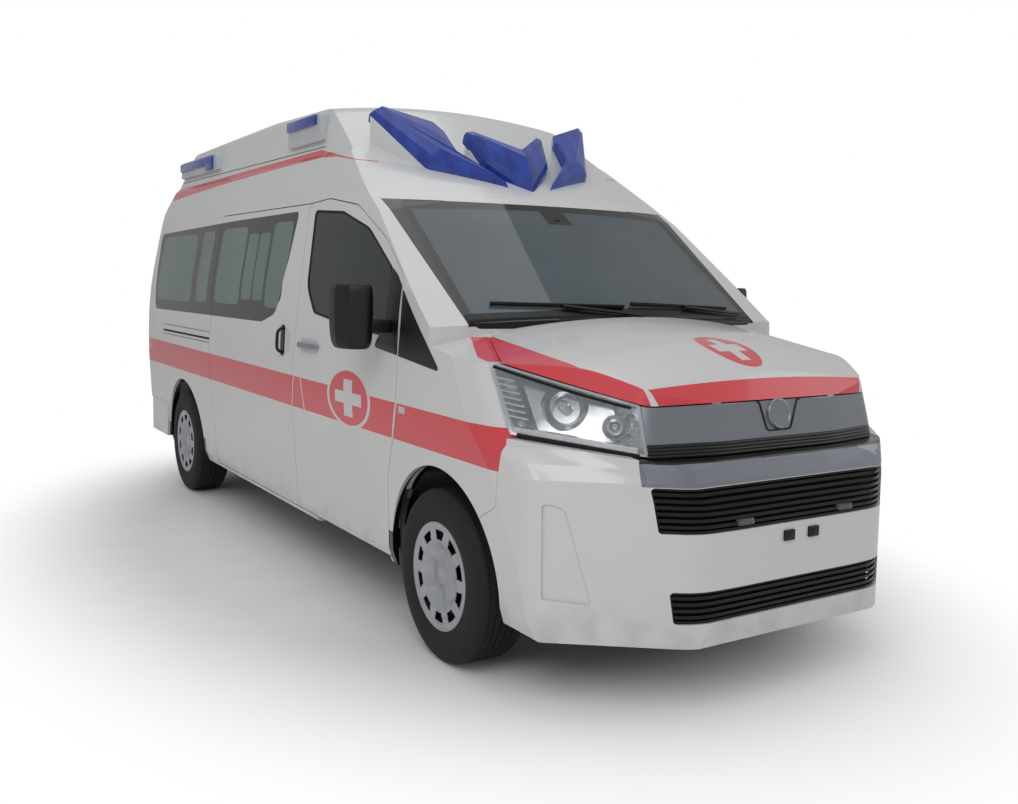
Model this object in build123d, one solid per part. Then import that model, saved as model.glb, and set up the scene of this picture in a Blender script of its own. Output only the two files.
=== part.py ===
from build123d import *
import math
import os

# High-roof van ambulance, in millimetres.
# Forward is -Y, the vehicle's left side is +X, up is +Z, and the wheels stand on Z = 0.

# Overall sizes
LENGTH = 5915.0
WHEELBASE = 3860.0
FRONT_OVERHANG = 1015.0
TRACK = 1670.0
SILL_Z = 285.0
WALL = 55.0
ROOF_WALL = 38.0
NOSE_SKIN = 28.0
PANEL_GAP = 5.0
GLASS = 5.0
SEAT_GAP = 0.3

FRONT_Y = -LENGTH / 2
REAR_Y = LENGTH / 2
FRONT_AXLE_Y = FRONT_Y + FRONT_OVERHANG
REAR_AXLE_Y = FRONT_AXLE_Y + WHEELBASE

# Wheels
TYRE_RADIUS = 356.0
TYRE_WIDTH = 235.0
RIM_RADIUS = 203.0
ARCH_RADIUS = 450.0
LINER = 6.0
HUB_RADIUS = 68.0
STUB_RADIUS = 24.0

# Heights of the body's breaks
GUTTER_Z = 1965.0
BUMPER_TOP_Z = 935.0
FLOOR_Z = 640.0
FLOOR_THICK = 40.0
CROWN_AXIS_Z = -2200.0
FRAME_FOOT_Z = 1245.0
HEADER_Z = 1938.0

# Panels and glass
BUMPER_SKIN = 30.0
GLASS_SET = 1.0
GLASS_LAP = 22.0
PILLAR = 45.0
LEAF = 2.35
GATE_HINGE_XS = (-430, 430)
BONNET_STOP_XS = (-300.0, 300.0)
LEAF_IN_X = 908.0
LEAF_OUT_X = 930.0
HINGE_HEIGHTS = [(1010, 1070), (1215, 1275)]
LAMP_DEPTH = 28.0
ARCH_IN_X = 505.0

# Centre-line profiles, seen from the side: y, z, corner radius
CAB_SIDE_ROWS = [
    (-2300, 120, 0),
    (-2300, 1174, 0),
    (-1232, 1948, 60),
    (-262, 2506, 260),
    (700, 2532, 2500),
    (2410, 2500, 190),
    (2800, 2130, 110),
    (2842, 1930, 300),
    (REAR_Y - 28, 1150, 600),
    (REAR_Y - 34, 120, 0),
]
NOSE_SIDE_ROWS = [
    (FRONT_Y + 60, 120, 0),
    (FRONT_Y + 70, 1075, 0),
    (FRONT_Y + 215, 1228, 90),
    (-2560, 1310, 700),
    (-1985, 1402, 500),
    (-1400, 1455, 0),
    (-1400, 120, 0),
]
BUMPER_SIDE_ROWS = [
    (FRONT_Y + 22, 200, 20),
    (FRONT_Y, 420, 80),
    (FRONT_Y, 770, 90),
    (FRONT_Y + 55, BUMPER_TOP_Z, 8),
    (-2750, BUMPER_TOP_Z + 12, 60),
    (-2380, BUMPER_TOP_Z + 66, 0),
    (-2000, BUMPER_TOP_Z + 66, 0),
    (-2000, 120, 0),
]

BUMPER_INNER_ROWS = [
    (FRONT_Y + 52, -100, 0),
    (FRONT_Y, 420, 80),
    (FRONT_Y, 770, 90),
    (FRONT_Y + 55, BUMPER_TOP_Z, 8),
    (-2750, BUMPER_TOP_Z + 12, 60),
    (-2380, BUMPER_TOP_Z + 66, 0),
    (-1900, BUMPER_TOP_Z + 66, 0),
    (-1900, -100, 0),
]

# Half of the cross-section: x, z, corner radius
CROSS_ROWS = [
    (908, SILL_Z, 14),
    (930, 352, 60),
    (974, 1005, 1500),
    (949, 1468, 2000),
    (857, 1980, 500),
    (791, 2178, 22),
    (768, 2201, 9),
    (706, 2452, 60),
    (560, 2640, 0),
]

# Plan outlines, half: x, y, corner radius, from the front's middle to the rear
BUMPER_PLAN = [
    (300, FRONT_Y, 600),
    (470, FRONT_Y + 8, 220),
    (932, FRONT_Y + 370, 160),
    (985, FRONT_Y + 720, 300),
    (985, REAR_Y, 130),
]
BUMPER_TOP_PLAN = [
    (300, FRONT_Y + 62, 600),
    (600, FRONT_Y + 117, 140),
    (952, FRONT_Y + 560, 160),
    (985, FRONT_Y + 800, 300),
    (985, REAR_Y, 130),
]
# The bumper's shoulder: height, and share of the way from the plan below to the one above
SHOULDER_ROWS = [
    (0, 0.0),
    (800, 0.0),
    (860, 0.14),
    (910, 0.46),
    (960, 1.0),
]
CAB_PLAN = [
    (985, -2400, 0),
    (985, REAR_Y, 130),
]
LAMP_LOW_PLAN = [
    (300, FRONT_Y + 106, 800),
    (585, FRONT_Y + 155, 120),
    (952, FRONT_Y + 560, 160),
    (985, FRONT_Y + 800, 300),
    (985, REAR_Y, 130),
]
LAMP_HIGH_PLAN = [
    (300, FRONT_Y + 150, 800),
    (535, FRONT_Y + 262, 120),
    (925, FRONT_Y + 900, 150),
    (985, FRONT_Y + 1160, 300),
    (985, REAR_Y, 130),
]
LAMP_LOW_Z = SHOULDER_ROWS[-1][0]
LAMP_HIGH_Z = 1450.0

# Outlines on the body's side: y, z, corner radius
DOOR_ROWS = [
    (-1450, 318, 10),
    (-1481, 694, 80),
    (-1592, 960, 90),
    (-1592, 1560, 70),
    (-1353, 1728, 260),
    (-980, 1893, 160),
    (-617, 1942, 80),
    (-345, 1930, 45),
    (-402, 1500, 350),
    (-332, 900, 500),
    (-322, 318, 10),
]
DOOR_GLASS_ROWS = [
    (-1478, 1300, 60),
    (-1478, 1590, 60),
    (-1155, 1780, 300),
    (-815, 1870, 120),
    (-446, 1892, 30),
    (-500, 1500, 150),
    (-620, 1372, 60),
    (-1000, 1330, 600),
]
SLIDING_REAR_Y = 1190.0
SLIDING_DOOR_ROWS = [
    (-420, 318, 10),
    (-420, 1930, 30),
    (SLIDING_REAR_Y, 1930, 30),
    (SLIDING_REAR_Y, 318, 10),
]
BAND_ROWS = [
    (-206, 1900, 30),
    (-160, 1640, 120),
    (-60, 1350, 120),
    (180, 1292, 200),
    (2700, 1286, 60),
    (2760, 1860, 60),
    (960, 1892, 600),
]
# Clear panes in the band: y of the front and rear edge, z of the lower and upper edge
SLIDING_PANES = [
    (-120, 150, 1400, 1835),
    (205, 575, 1400, 1835),
    (635, 1130, 1385, 1835),
]
FIXED_PANES = [
    (1330, 1580, 1385, 1825),
    (1720, 2640, 1375, 1815),
]
BONNET_ROWS = [
    (FRONT_Y + 60, 1138, 0),
    (-2770, 1120, 60),
    (-2225, 1262, 100),
    (-1700, 1400, 0),
    (-1700, 1800, 0),
    (FRONT_Y + 60, 1800, 0),
]
LAMP_ROWS = [
    (FRONT_Y + 60, 940, 0),
    (-2820, 944, 30),
    (-2410, 998, 20),
    (-2238, 1252, 20),
    (-2775, 1114, 60),
    (FRONT_Y + 60, 1130, 0),
]
BUMPER_EDGE_ROWS = [
    (FRONT_Y - 100, 200, 0),
    (-2250, 200, 0),
    (-2262, 661, 60),
    (-2398, 733, 40),
    (-2424, 985, 0),
    (-2820, BUMPER_TOP_Z + 4, 30),
    (FRONT_Y - 100, BUMPER_TOP_Z, 0),
]
# What the wings leave free for the lamps
WING_FRONT_ROWS = [
    (FRONT_Y - 100, 860, 0),
    (-2424, 990, 0),
    (-2409.7, 997.8, 20),
    (-2237.7, 1251.8, 20),
    (-2237.7, 1330, 0),
    (FRONT_Y - 100, 1330, 0),
]
# Outlines seen from the front or rear: x, z, corner radius
WINDSCREEN_ROWS = [
    (800, 1330, 50),
    (765, 1915, 60),
]
TAILGATE_ROWS = [
    (795, 600, 60),
    (795, 1100, 400),
    (742, 1960, 70),
]
TAILGATE_GLASS_ROWS = [
    (690, 1190, 60),
    (655, 1840, 70),
]
TAIL_LAMP_ROWS = [
    (803, 960, 20),
    (990, 960, 0),
    (990, 1560, 0),
    (790, 1560, 20),
]
UPPER_GRILLE_ROWS = [(582, 690, 14), (606, 849, 14)]
LOWER_GRILLE_ROWS = [(535, 372, 14), (549, 486, 14)]

TAIL_LAMP_Y = 2760.0
REAR_BUMPER_Y = 2395.0
REAR_BUMPER_TOP_Z = 577.0
REAR_BUMPER_PLAN = [
    (953, REAR_BUMPER_Y - 300, 0),
    (953, REAR_Y + 8, 118),
]
REAR_BUMPER_ROWS = [
    (REAR_BUMPER_Y, 330, 0),
    (REAR_BUMPER_Y, REAR_BUMPER_TOP_Z, 0),
    (REAR_Y, REAR_BUMPER_TOP_Z, 25),
    (REAR_Y, 440, 60),
    (REAR_Y - 30, 330, 20),
]
BONNET_REAR_ARC = [(-1010, -1860), (0, -2008), (1010, -1860)]

SLAT = 12.0
GRILLE_SET = 10.0
GRILLE_THICK = 13.0
GRILLE_RIM = 10.0
BUMPER_LIP = 130.0
# Depth of the bumper's blank pockets and bright bar, and of the bar's seat
TRIM_DEPTH = 8.0
BAR_SEAT_DEPTH = 10.0
# Blank pocket at each corner of the bumper: x, z, corner radius
RECESS_ROWS = [
    (897, 440, 8),
    (900, 782, 12),
    (838, 772, 50),
    (758, 425, 8),
]
# Bright bar over the upper grille: x, z, corner radius
BAR_ROWS = [
    (612, 862, 6),
    (622, 930, 6),
    (150, 930, 20),
    (110, 915, 20),
]
SCREEN_FOOT = 14.0
LINER_OUT_X = 880.0
TOWER_Z = 830.0
SILL_IN_X = 790.0
LAMP_TRAY = 100.0
LAMP_IN_X = 583.0
RAIL_X = 420.0
RAIL = 70.0
RAIL_Z = 470.0
CROSSMEMBER_YS = [-1450, -700, 200, 1150, 2650]
SPARE_Y = 2490.0

# Beacons: plan corners, and three points of the sloping top
WEDGE_PLAN = [(121, -1131), (479, -962), (666, -655), (618, -665), (348, -801)]
WEDGE_TOP = [(121, -1131, 2024), (618, -672, 2420), (348, -801, 2349)]
CHEVRON_PLAN = [(0, -1164), (189, -1014), (230, -861), (0, -960)]
CHEVRON_TOP = [(0, -1164, 2010), (230, -861, 2314), (0, -960, 2290)]
LENS_THICK = 62.0
# Side strobes: y from, y to, z from, z to
STROBE_ROWS = [(1920, 2240, 2320, 2400), (-50, 410, 2320, 2400)]
STROBE_OUT_X = 790.0

PIN = 12.0
STRUT = 22.0
DASH_ROWS = [
    (-1765 + SEAT_GAP, 860, 0),
    (-1500, 820, 40),
    (-1330, 1020, 40),
    (-1360, 1180, 50),
    (-1640, 1250, 60),
    (-1765 + SEAT_GAP, 1240, 0),
]
STEER_X = 430.0
STEER_Y = -1235.0
STEER_Z = 1160.0
STEER_TILT = (0.87, 0.49)
SEAT_ROWS = [
    (-1150, 800, 40),
    (-640, 800, 60),
    (-500, 1520, 60),
    (-610, 1530, 50),
    (-760, 930, 80),
    (-1150, 930, 60),
]

HALF_TRACK = TRACK / 2
KINGPIN_LOW = (755.0, 215.0)
KINGPIN_HIGH = (600.0, 930.0)
MIRRORED = Plane.YZ

os.makedirs("parts", exist_ok=True)


def outline(rows):
    """Closed flat face from rows of first axis, second axis and corner radius.

    Each corner becomes an arc that touches both of its sides, and is limited by their length.
    """
    count = len(rows)
    corners = [Vector(a, b) for a, b, radius in rows]
    arcs = []
    for i in range(count):
        into = corners[i] - corners[i - 1]
        away = corners[(i + 1) % count] - corners[i]
        along, onward = into.normalized(), away.normalized()
        half_turn = math.radians(along.get_angle(onward)) / 2
        reach = rows[i][2] * math.tan(half_turn)
        reach = min(reach, 0.49 * into.length, 0.49 * away.length)
        radius = reach / math.tan(half_turn) if reach > 0 else 0
        bulge = (onward - along).normalized() * radius * (1 / math.cos(half_turn) - 1)
        arcs.append((corners[i] - along * reach, corners[i] + bulge, corners[i] + onward * reach))
    edges = []
    for i in range(count):
        start, middle, end = arcs[i]
        if (start - end).length > 0.001:
            edges.append(ThreePointArc(start, middle, end))
        edges.append(Line(end, arcs[(i + 1) % count][0]))
    return make_face(edges)


def along_x(face, low, high):
    """Solid with a y, z outline between two x planes."""
    return extrude(Plane.YZ.offset(low) * face, high - low)


def along_y(face, low, high):
    """Solid with an x, z outline between two y planes."""
    return extrude(Plane.XZ.offset(-high) * face, high - low)


def along_z(face, low, high):
    """Solid with an x, y outline between two z planes."""
    return extrude(Plane.XY.offset(low) * face, high - low)


def box(x0, x1, y0, y1, z0, z1):
    """Box from its low and high planes."""
    size = Box(x1 - x0, y1 - y0, z1 - z0)
    return Pos((x0 + x1) / 2, (y0 + y1) / 2, (z0 + z1) / 2) * size


def tube_x(radius, x0, x1, y, z):
    """Cylinder along X."""
    return Pos((x0 + x1) / 2, y, z) * Rot(0, 90, 0) * Cylinder(radius, abs(x1 - x0))


def tube_y(radius, y0, y1, x, z):
    """Cylinder along Y."""
    return Pos(x, (y0 + y1) / 2, z) * Rot(90, 0, 0) * Cylinder(radius, abs(y1 - y0))


def tube_z(radius, z0, z1, x, y):
    """Cylinder along Z."""
    return Pos(x, y, (z0 + z1) / 2) * Cylinder(radius, abs(z1 - z0))


def both(shape):
    """The shape and its mirror image on the vehicle's other side."""
    return [shape, mirror(shape, about=MIRRORED)]


def solids_of(*shapes):
    """All solids of the given shapes."""
    found = []
    for shape in shapes:
        if isinstance(shape, (list, tuple)):
            found += solids_of(*shape)
        else:
            found += list(shape.solids())
    return found


def save(name, *shapes):
    """Write one node."""
    pieces = solids_of(*shapes)
    body = pieces[0] if len(pieces) == 1 else Compound(children=pieces)
    body.label = name
    export_step(body, os.path.join("parts", name + ".step"))


def inset_rows(rows, depth):
    """Rows of a closed outline moved inwards by a depth, with corner radii that follow."""
    if depth == 0:
        return rows
    count = len(rows)
    area = sum(
        rows[i - 1][0] * rows[i][1] - rows[i][0] * rows[i - 1][1] for i in range(count)
    )
    turn = 1 if area > 0 else -1
    moved = []
    for i in range(count):
        before, here, after = rows[i - 1], rows[i], rows[(i + 1) % count]
        first = Vector(here[0] - before[0], here[1] - before[1]).normalized()
        second = Vector(after[0] - here[0], after[1] - here[1]).normalized()
        bend = (first.X * second.Y - first.Y * second.X) * turn
        normal = Vector(-first.Y, first.X) * turn
        other = Vector(-second.Y, second.X) * turn
        reach = depth / (1 + normal.dot(other))
        corner = Vector(here[0], here[1]) + (normal + other) * reach
        radius = here[2] - depth if bend > 0 else here[2] + depth
        moved.append((corner.X, corner.Y, max(radius, 0) if here[2] > 0 else 0))
    return moved


def twin_rows(rows):
    """Rows of half an outline, made whole about the first axis' zero."""
    return list(rows) + [(-a, b, radius) for a, b, radius in reversed(rows)]


def zone_x(rows, grow=0.0, side=1):
    """Solid through one body side with a y, z outline, grown outwards by an amount."""
    face = outline(inset_rows(rows, -grow))
    if side > 0:
        return along_x(face, 500, 1100)
    return along_x(face, -1100, -500)


def zone_y(rows, low, high, grow=0.0):
    """Solid with an x, z outline given by half, between two y planes."""
    return along_y(outline(inset_rows(twin_rows(rows), -grow)), low, high)


# Body forms

CROWN_AXIS = Axis((0, 0, CROWN_AXIS_Z), (0, 1, 0))
CROWN_SWEEP = 50.0


def crowned(rows):
    """Side profile turned about a low lengthwise axis, which crowns it across."""
    blank = (Plane.YZ * outline(rows)).rotate(CROWN_AXIS, -CROWN_SWEEP / 2)
    return revolve(blank, CROWN_AXIS, CROWN_SWEEP)


def cross_face(depth):
    """The body's cross-section, moved inwards by a depth, and open below if it is moved."""
    rows = CROSS_ROWS
    if depth > 0:
        rows = [(905, -400, 0)] + CROSS_ROWS[1:]
    return outline(inset_rows(twin_rows(rows), depth))


def plan_face(rows, depth):
    """A plan outline, moved inwards by a depth."""
    return outline(inset_rows(twin_rows(rows), depth))


def cab_form(depth):
    """Cab, load space and raised roof as one solid, moved inwards by a depth."""
    form = crowned(inset_rows(CAB_SIDE_ROWS, depth))
    form = form & along_y(cross_face(depth), -2400, REAR_Y + 50)
    return form & along_z(plan_face(CAB_PLAN, depth), 100, 2700)


def plan_section(z, rows, depth):
    """A plan outline at a height, moved inwards by a depth."""
    return Plane.XY.offset(z) * plan_face(rows, depth)


def shoulder_sections(depth):
    """Plan sections of the bumper and the low wings, drawn in above the bumper's bulge."""
    sections = []
    for z, share in SHOULDER_ROWS:
        rows = [
            tuple(a + share * (b - a) for a, b in zip(low, top))
            for low, top in zip(BUMPER_PLAN, BUMPER_TOP_PLAN)
        ]
        sections.append(plan_section(z, rows, depth))
    return sections


def bumper_form(depth):
    """The front bumper's outer form, moved inwards by a depth and then open below."""
    rows = BUMPER_SIDE_ROWS if depth == 0 else BUMPER_INNER_ROWS
    form = along_x(outline(inset_rows(rows, depth)), -1100, 1100)
    form = form & along_y(cross_face(depth), FRONT_Y - 50, -2100)
    top = plan_section(1400, BUMPER_TOP_PLAN, depth)
    return form & loft(shoulder_sections(depth) + [top], ruled=True)


def nose_profile(depth):
    """Side profile and cross-section of the nose, moved inwards by a depth."""
    return crowned(inset_rows(NOSE_SIDE_ROWS, depth)) & along_y(cross_face(depth), FRONT_Y - 50, -1400)


def nose_form(depth):
    """The nose above the bumper, moved inwards by a depth."""
    sections = [(900, LAMP_LOW_PLAN), (LAMP_LOW_Z, LAMP_LOW_PLAN), (LAMP_HIGH_Z, LAMP_HIGH_PLAN)]
    plan = loft([plan_section(z, rows, depth) for z, rows in sections], ruled=True)
    return nose_profile(depth) & plan


def wing_form(depth):
    """The front wings' form down to the sill, moved inwards by a depth."""
    top = plan_section(LAMP_HIGH_Z, LAMP_HIGH_PLAN, depth)
    return nose_profile(depth) & loft(shoulder_sections(depth) + [top], ruled=True)


CAB_OUTER = cab_form(0)
CAB_INNER = cab_form(WALL)
CAB_WALL = CAB_OUTER - CAB_INNER
GLASS_OUT = cab_form(GLASS_SET)
GLASS_IN = cab_form(GLASS_SET + GLASS)
GLASS_SEAT = cab_form(GLASS_SET + GLASS + SEAT_GAP)
GLASS_SKIN = GLASS_OUT - GLASS_IN
GLASS_REBATE = CAB_OUTER - GLASS_SEAT
CAB_SEAT = cab_form(-SEAT_GAP)
NOSE_OUTER = nose_form(0)
NOSE_WALL = NOSE_OUTER - nose_form(NOSE_SKIN)
BUMPER_OUTER = bumper_form(0)
BUMPER_WALL = BUMPER_OUTER - bumper_form(BUMPER_SKIN)
WING_WALL = wing_form(0) - wing_form(NOSE_SKIN)


def arches(radius, x_in=None, axles=(FRONT_AXLE_Y, REAR_AXLE_Y)):
    """Cylinders for the wheel arches, from an inner x plane outwards, on both sides."""
    x_in = ARCH_IN_X if x_in is None else x_in
    cutters = []
    for axle in axles:
        cutters += both(tube_x(radius, x_in, 1100, axle, TYRE_RADIUS))
    return cutters


def cut(shape, *tools):
    """The shape less each of the tools."""
    for tool in tools:
        for piece in tool if isinstance(tool, (list, tuple)) else [tool]:
            shape = shape - piece
    return shape


def hinge_leaves(rows, side, rows_of_height):
    """Butt hinge leaves in a door's front gap: those on the body and those on the door."""
    fixed = []
    moving = []
    for low, high in rows_of_height:
        slot = box(LEAF_IN_X, LEAF_OUT_X, -1700, -1500, low, high)
        slot = slot if side > 0 else mirror(slot, about=MIRRORED)
        whole = zone_x(rows, PANEL_GAP, side)
        body_leaf = (whole - zone_x(rows, PANEL_GAP - LEAF, side)) & slot
        door_leaf = (zone_x(rows, LEAF, side) - zone_x(rows, 0, side)) & slot
        fixed.append(body_leaf)
        moving.append(door_leaf)
    return fixed, moving


# Doors

def front_door(side):
    """One front door with its window rebate and its half of the hinges."""
    door = CAB_WALL & zone_x(DOOR_ROWS, 0, side)
    door = door - (GLASS_REBATE & zone_x(DOOR_GLASS_ROWS, SEAT_GAP, side))
    door = door - zone_x(inset_rows(DOOR_GLASS_ROWS, GLASS_LAP), 0, side)
    fixed, moving = hinge_leaves(DOOR_ROWS, side, HINGE_HEIGHTS)
    for leaf in moving:
        door = door + leaf
    glass = GLASS_SKIN & zone_x(DOOR_GLASS_ROWS, 0, side)
    return door, glass


for name, side in (("left", 1), ("right", -1)):
    door, glass = front_door(side)
    save("door_" + name, door)
    save("door_glass_" + name, glass)

sliding_zone = zone_x(SLIDING_DOOR_ROWS, 0, -1) - zone_x(DOOR_ROWS, PANEL_GAP, -1)
band_left = zone_x(BAND_ROWS, 0, 1) - zone_x(DOOR_ROWS, PANEL_GAP, 1)
band_right = zone_x(BAND_ROWS, 0, -1) - zone_x(DOOR_ROWS, PANEL_GAP, -1)


def pane_holes(rows, side):
    """Openings through the wall behind the clear panes."""
    holes = []
    for front, rear, low, high in rows:
        corners = [(front, low, 60), (rear, low, 60), (rear, high, 60), (front, high, 60)]
        holes.append(zone_x(corners, 0, side))
    return holes


def banded(panel, side, rows):
    """A side panel with its window band's rebate and openings."""
    band = band_left if side > 0 else band_right
    panel = panel - (GLASS_REBATE & band)
    return cut(panel, pane_holes(rows, side))


sliding_door = banded(CAB_WALL & sliding_zone, -1, SLIDING_PANES)
save("sliding_door", sliding_door)

gate_zone = zone_y(TAILGATE_ROWS, 2600, 3050)
gate_gap = zone_y(TAILGATE_ROWS, 2600, 3050, PANEL_GAP)
gate_glass_zone = zone_y(TAILGATE_GLASS_ROWS, 2600, 3050)
tailgate = CAB_WALL & gate_zone
tailgate = tailgate - (GLASS_REBATE & zone_y(TAILGATE_GLASS_ROWS, 2600, 3050, SEAT_GAP))
tailgate = tailgate - zone_y(TAILGATE_GLASS_ROWS, 2600, 3050, -GLASS_LAP)
for x in GATE_HINGE_XS:
    tailgate = tailgate + box(x - 30, x + 30, 2790, 2828, GUTTER_Z - PANEL_GAP - 1, GUTTER_Z - PANEL_GAP + LEAF)
save("tailgate", tailgate)
save("tailgate_glass", GLASS_SKIN & gate_glass_zone)

# Body sides


def half_box(side, x0, x1, y0, y1, z0, z1):
    """Box on one side of the vehicle."""
    shape = box(x0, x1, y0, y1, z0, z1)
    return shape if side > 0 else mirror(shape, about=MIRRORED)


def pillar(side, y0, y1, root_y0, root_y1, root_z):
    """Post behind a shut line: its outer face seats on the doors, its root joins the wall."""
    core = cross_face(WALL + PILLAR)
    seat = along_y(cross_face(WALL + SEAT_GAP) - core, y0, y1)
    root = along_y(cross_face(WALL - 5) - core, root_y0, root_y1)
    post = seat & half_box(side, 300, 1100, -3000, 3000, FLOOR_Z, GUTTER_Z)
    return post + (root & half_box(side, 300, 1100, -3000, 3000, root_z, GUTTER_Z))


def body_side(side):
    """Fixed side panel from the front door's rear edge to the tail."""
    low = half_box(side, 400, 1100, -560, 3000, 200, HEADER_Z)
    high = half_box(side, 400, 1100, -330, 3000, HEADER_Z - 10, GUTTER_Z)
    panel = CAB_WALL & (low + high)
    panel = cut(panel, zone_x(DOOR_ROWS, PANEL_GAP, side), gate_gap)
    panes = FIXED_PANES
    if side > 0:
        panes = SLIDING_PANES + FIXED_PANES
    else:
        panel = panel - zone_x(SLIDING_DOOR_ROWS, PANEL_GAP, side)
    panel = banded(panel, side, panes)
    return cut(panel, arches(ARCH_RADIUS))


def rear_corner_cuts():
    """What the sides leave free for the rear bumper and the tail lamps."""
    bumper = box(-1100, 1100, REAR_BUMPER_Y, 3100, 100, REAR_BUMPER_TOP_Z + SEAT_GAP)
    lamps = CAB_OUTER - cab_form(LAMP_DEPTH + SEAT_GAP)
    return [bumper, lamps & tail_lamp_zones(SEAT_GAP)]


def tail_lamp_zones(grow):
    """Space of both tail lamps at the rear corners."""
    rows = inset_rows(TAIL_LAMP_ROWS, -grow)
    zone = along_y(outline(rows), TAIL_LAMP_Y - grow, 3050)
    return zone + mirror(zone, about=MIRRORED)


corner_cuts = rear_corner_cuts()
for name, side in (("left", 1), ("right", -1)):
    panel = cut(body_side(side), corner_cuts)
    if side > 0:
        save("body_side_" + name, panel + pillar(side, -440, -250, -290, -250, FLOOR_Z))
    else:
        front_post = pillar(side, -440, -250, -325, -250, HEADER_Z + 5)
        rear_post = pillar(side, SLIDING_REAR_Y - 60, SLIDING_REAR_Y + 40,
                           SLIDING_REAR_Y + 15, SLIDING_REAR_Y + 40, FLOOR_Z)
        save("body_side_" + name, panel + front_post + rear_post)
save("tail_lamps", (GLASS_OUT - cab_form(LAMP_DEPTH)) & tail_lamp_zones(0))

side_glass = []
for side in (1, -1):
    band = GLASS_SKIN & zone_x(inset_rows(BAND_ROWS, SEAT_GAP), 0, side)
    band = band - zone_x(DOOR_ROWS, PANEL_GAP, side)
    if side > 0:
        side_glass.append(band)
    else:
        side_glass.append(band & box(-1100, 0, -900, SLIDING_REAR_Y, 1000, 2100))
        side_glass.append(band & box(-1100, 0, SLIDING_REAR_Y + PANEL_GAP, 3000, 1000, 2100))
save("side_windows", side_glass)

# Cab frame and windscreen


def ahead_of_arc(gap):
    """Space ahead of the bonnet's curved rear edge, reaching back by a gap."""
    points = [(x, y + gap) for x, y in BONNET_REAR_ARC]
    front = [points[2], (points[2][0], -3000), (points[0][0], -3000), points[0]]
    face = make_face([ThreePointArc(*points), Polyline(*front)])
    return along_z(face, 900, 1700)


screen_zone = zone_y(WINDSCREEN_ROWS, -2150, -1000)
screen_hole = zone_y(WINDSCREEN_ROWS, -2150, -1000, -GLASS_LAP)
screen_rebate = GLASS_REBATE & zone_y(WINDSCREEN_ROWS, -2150, -1000, SEAT_GAP)
save("windscreen", (GLASS_SKIN & screen_zone) - ahead_of_arc(SCREEN_FOOT))

door_gaps = [zone_x(DOOR_ROWS, PANEL_GAP, side) for side in (1, -1)]
cab_reach = box(-1100, 1100, -2150, -560, FRAME_FOOT_Z, GUTTER_Z)
cab_reach = cab_reach + box(-1100, 1100, -600, -330, HEADER_Z, GUTTER_Z)
cab_frame = cut(CAB_WALL & cab_reach, screen_rebate, screen_hole)
hinge_post = (cab_form(NOSE_SKIN + SEAT_GAP) - CAB_INNER) & box(-1100, 1100, -1760, -1590, 420, 1300)
cowl = CAB_OUTER & box(-880, 880, -2100, -1766, 1262, 1290)
firewall = CAB_INNER & box(-1100, 1100, -1800, -1765, FLOOR_Z - FLOOR_THICK, 1290)
cab_frame = cab_frame + hinge_post + cowl + firewall - ahead_of_arc(PANEL_GAP)
arch_space = arches(ARCH_RADIUS + LINER + SEAT_GAP, ARCH_IN_X - LINER - SEAT_GAP, (FRONT_AXLE_Y,))
cab_frame = cut(cab_frame, door_gaps, arch_space)
for side in (1, -1):
    for leaf in hinge_leaves(DOOR_ROWS, side, HINGE_HEIGHTS)[0]:
        cab_frame = cab_frame + leaf
save("cab_frame", cab_frame)

# Raised roof

high_roof = (CAB_OUTER - cab_form(ROOF_WALL)) & box(-1100, 1100, -2400, 3100, GUTTER_Z, 2700)
for x in GATE_HINGE_XS:
    high_roof = high_roof + box(x - 30, x + 30, 2790, 2828, GUTTER_Z - LEAF, GUTTER_Z + 1)

# Nose and front wheel arches


def front_zone(rows, grow=0.0):
    """Space through the front bumper with an x, z outline given by half."""
    return zone_y(rows, FRONT_Y - 150, FRONT_Y + 210, grow)


def rod(start, end, radius):
    """Round bar between two points."""
    line = Vector(*end) - Vector(*start)
    plane = Plane(origin=Vector(*start), z_dir=line.normalized())
    return extrude(plane * Circle(radius), line.length)


def kingpin_point(z):
    """Point of the left steering axis at a height."""
    share = (z - KINGPIN_LOW[1]) / (KINGPIN_HIGH[1] - KINGPIN_LOW[1])
    return (KINGPIN_LOW[0] + share * (KINGPIN_HIGH[0] - KINGPIN_LOW[0]), FRONT_AXLE_Y, z)


bonnet = NOSE_WALL & along_x(outline(BONNET_ROWS), -1100, 1100) & ahead_of_arc(0)
save("bonnet", bonnet)

bonnet_gap = along_x(outline(inset_rows(BONNET_ROWS, -PANEL_GAP)), -1100, 1100)
wing_reach = box(-1100, 1100, -2424 + 2, -1440, 200, FRAME_FOOT_Z - SEAT_GAP)
wing_crest = box(-1100, 1100, -2424 + 2, -1800, 1200, 1420) & ahead_of_arc(PANEL_GAP - SEAT_GAP)
wing_reach = wing_reach + wing_crest
wings = WING_WALL & wing_reach
wings = cut(wings, bonnet_gap, door_gaps, along_x(outline(WING_FRONT_ROWS), -1100, 1100))
wings = cut(wings, along_x(outline(inset_rows(BUMPER_EDGE_ROWS, -2)), -1100, 1100))
wings = cut(wings, arches(ARCH_RADIUS))
liner = cut(tube_x(ARCH_RADIUS + LINER, ARCH_IN_X - LINER, LINER_OUT_X, FRONT_AXLE_Y, TYRE_RADIUS),
            tube_x(ARCH_RADIUS, ARCH_IN_X, 1000, FRONT_AXLE_Y, TYRE_RADIUS),
            rod(kingpin_point(500), kingpin_point(880), STRUT + SEAT_GAP))
liner = liner & box(400, 1100, -2424, -1495, 470, 1000)
save("front_wings", [piece for piece in solids_of(wings, both(liner))])

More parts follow.
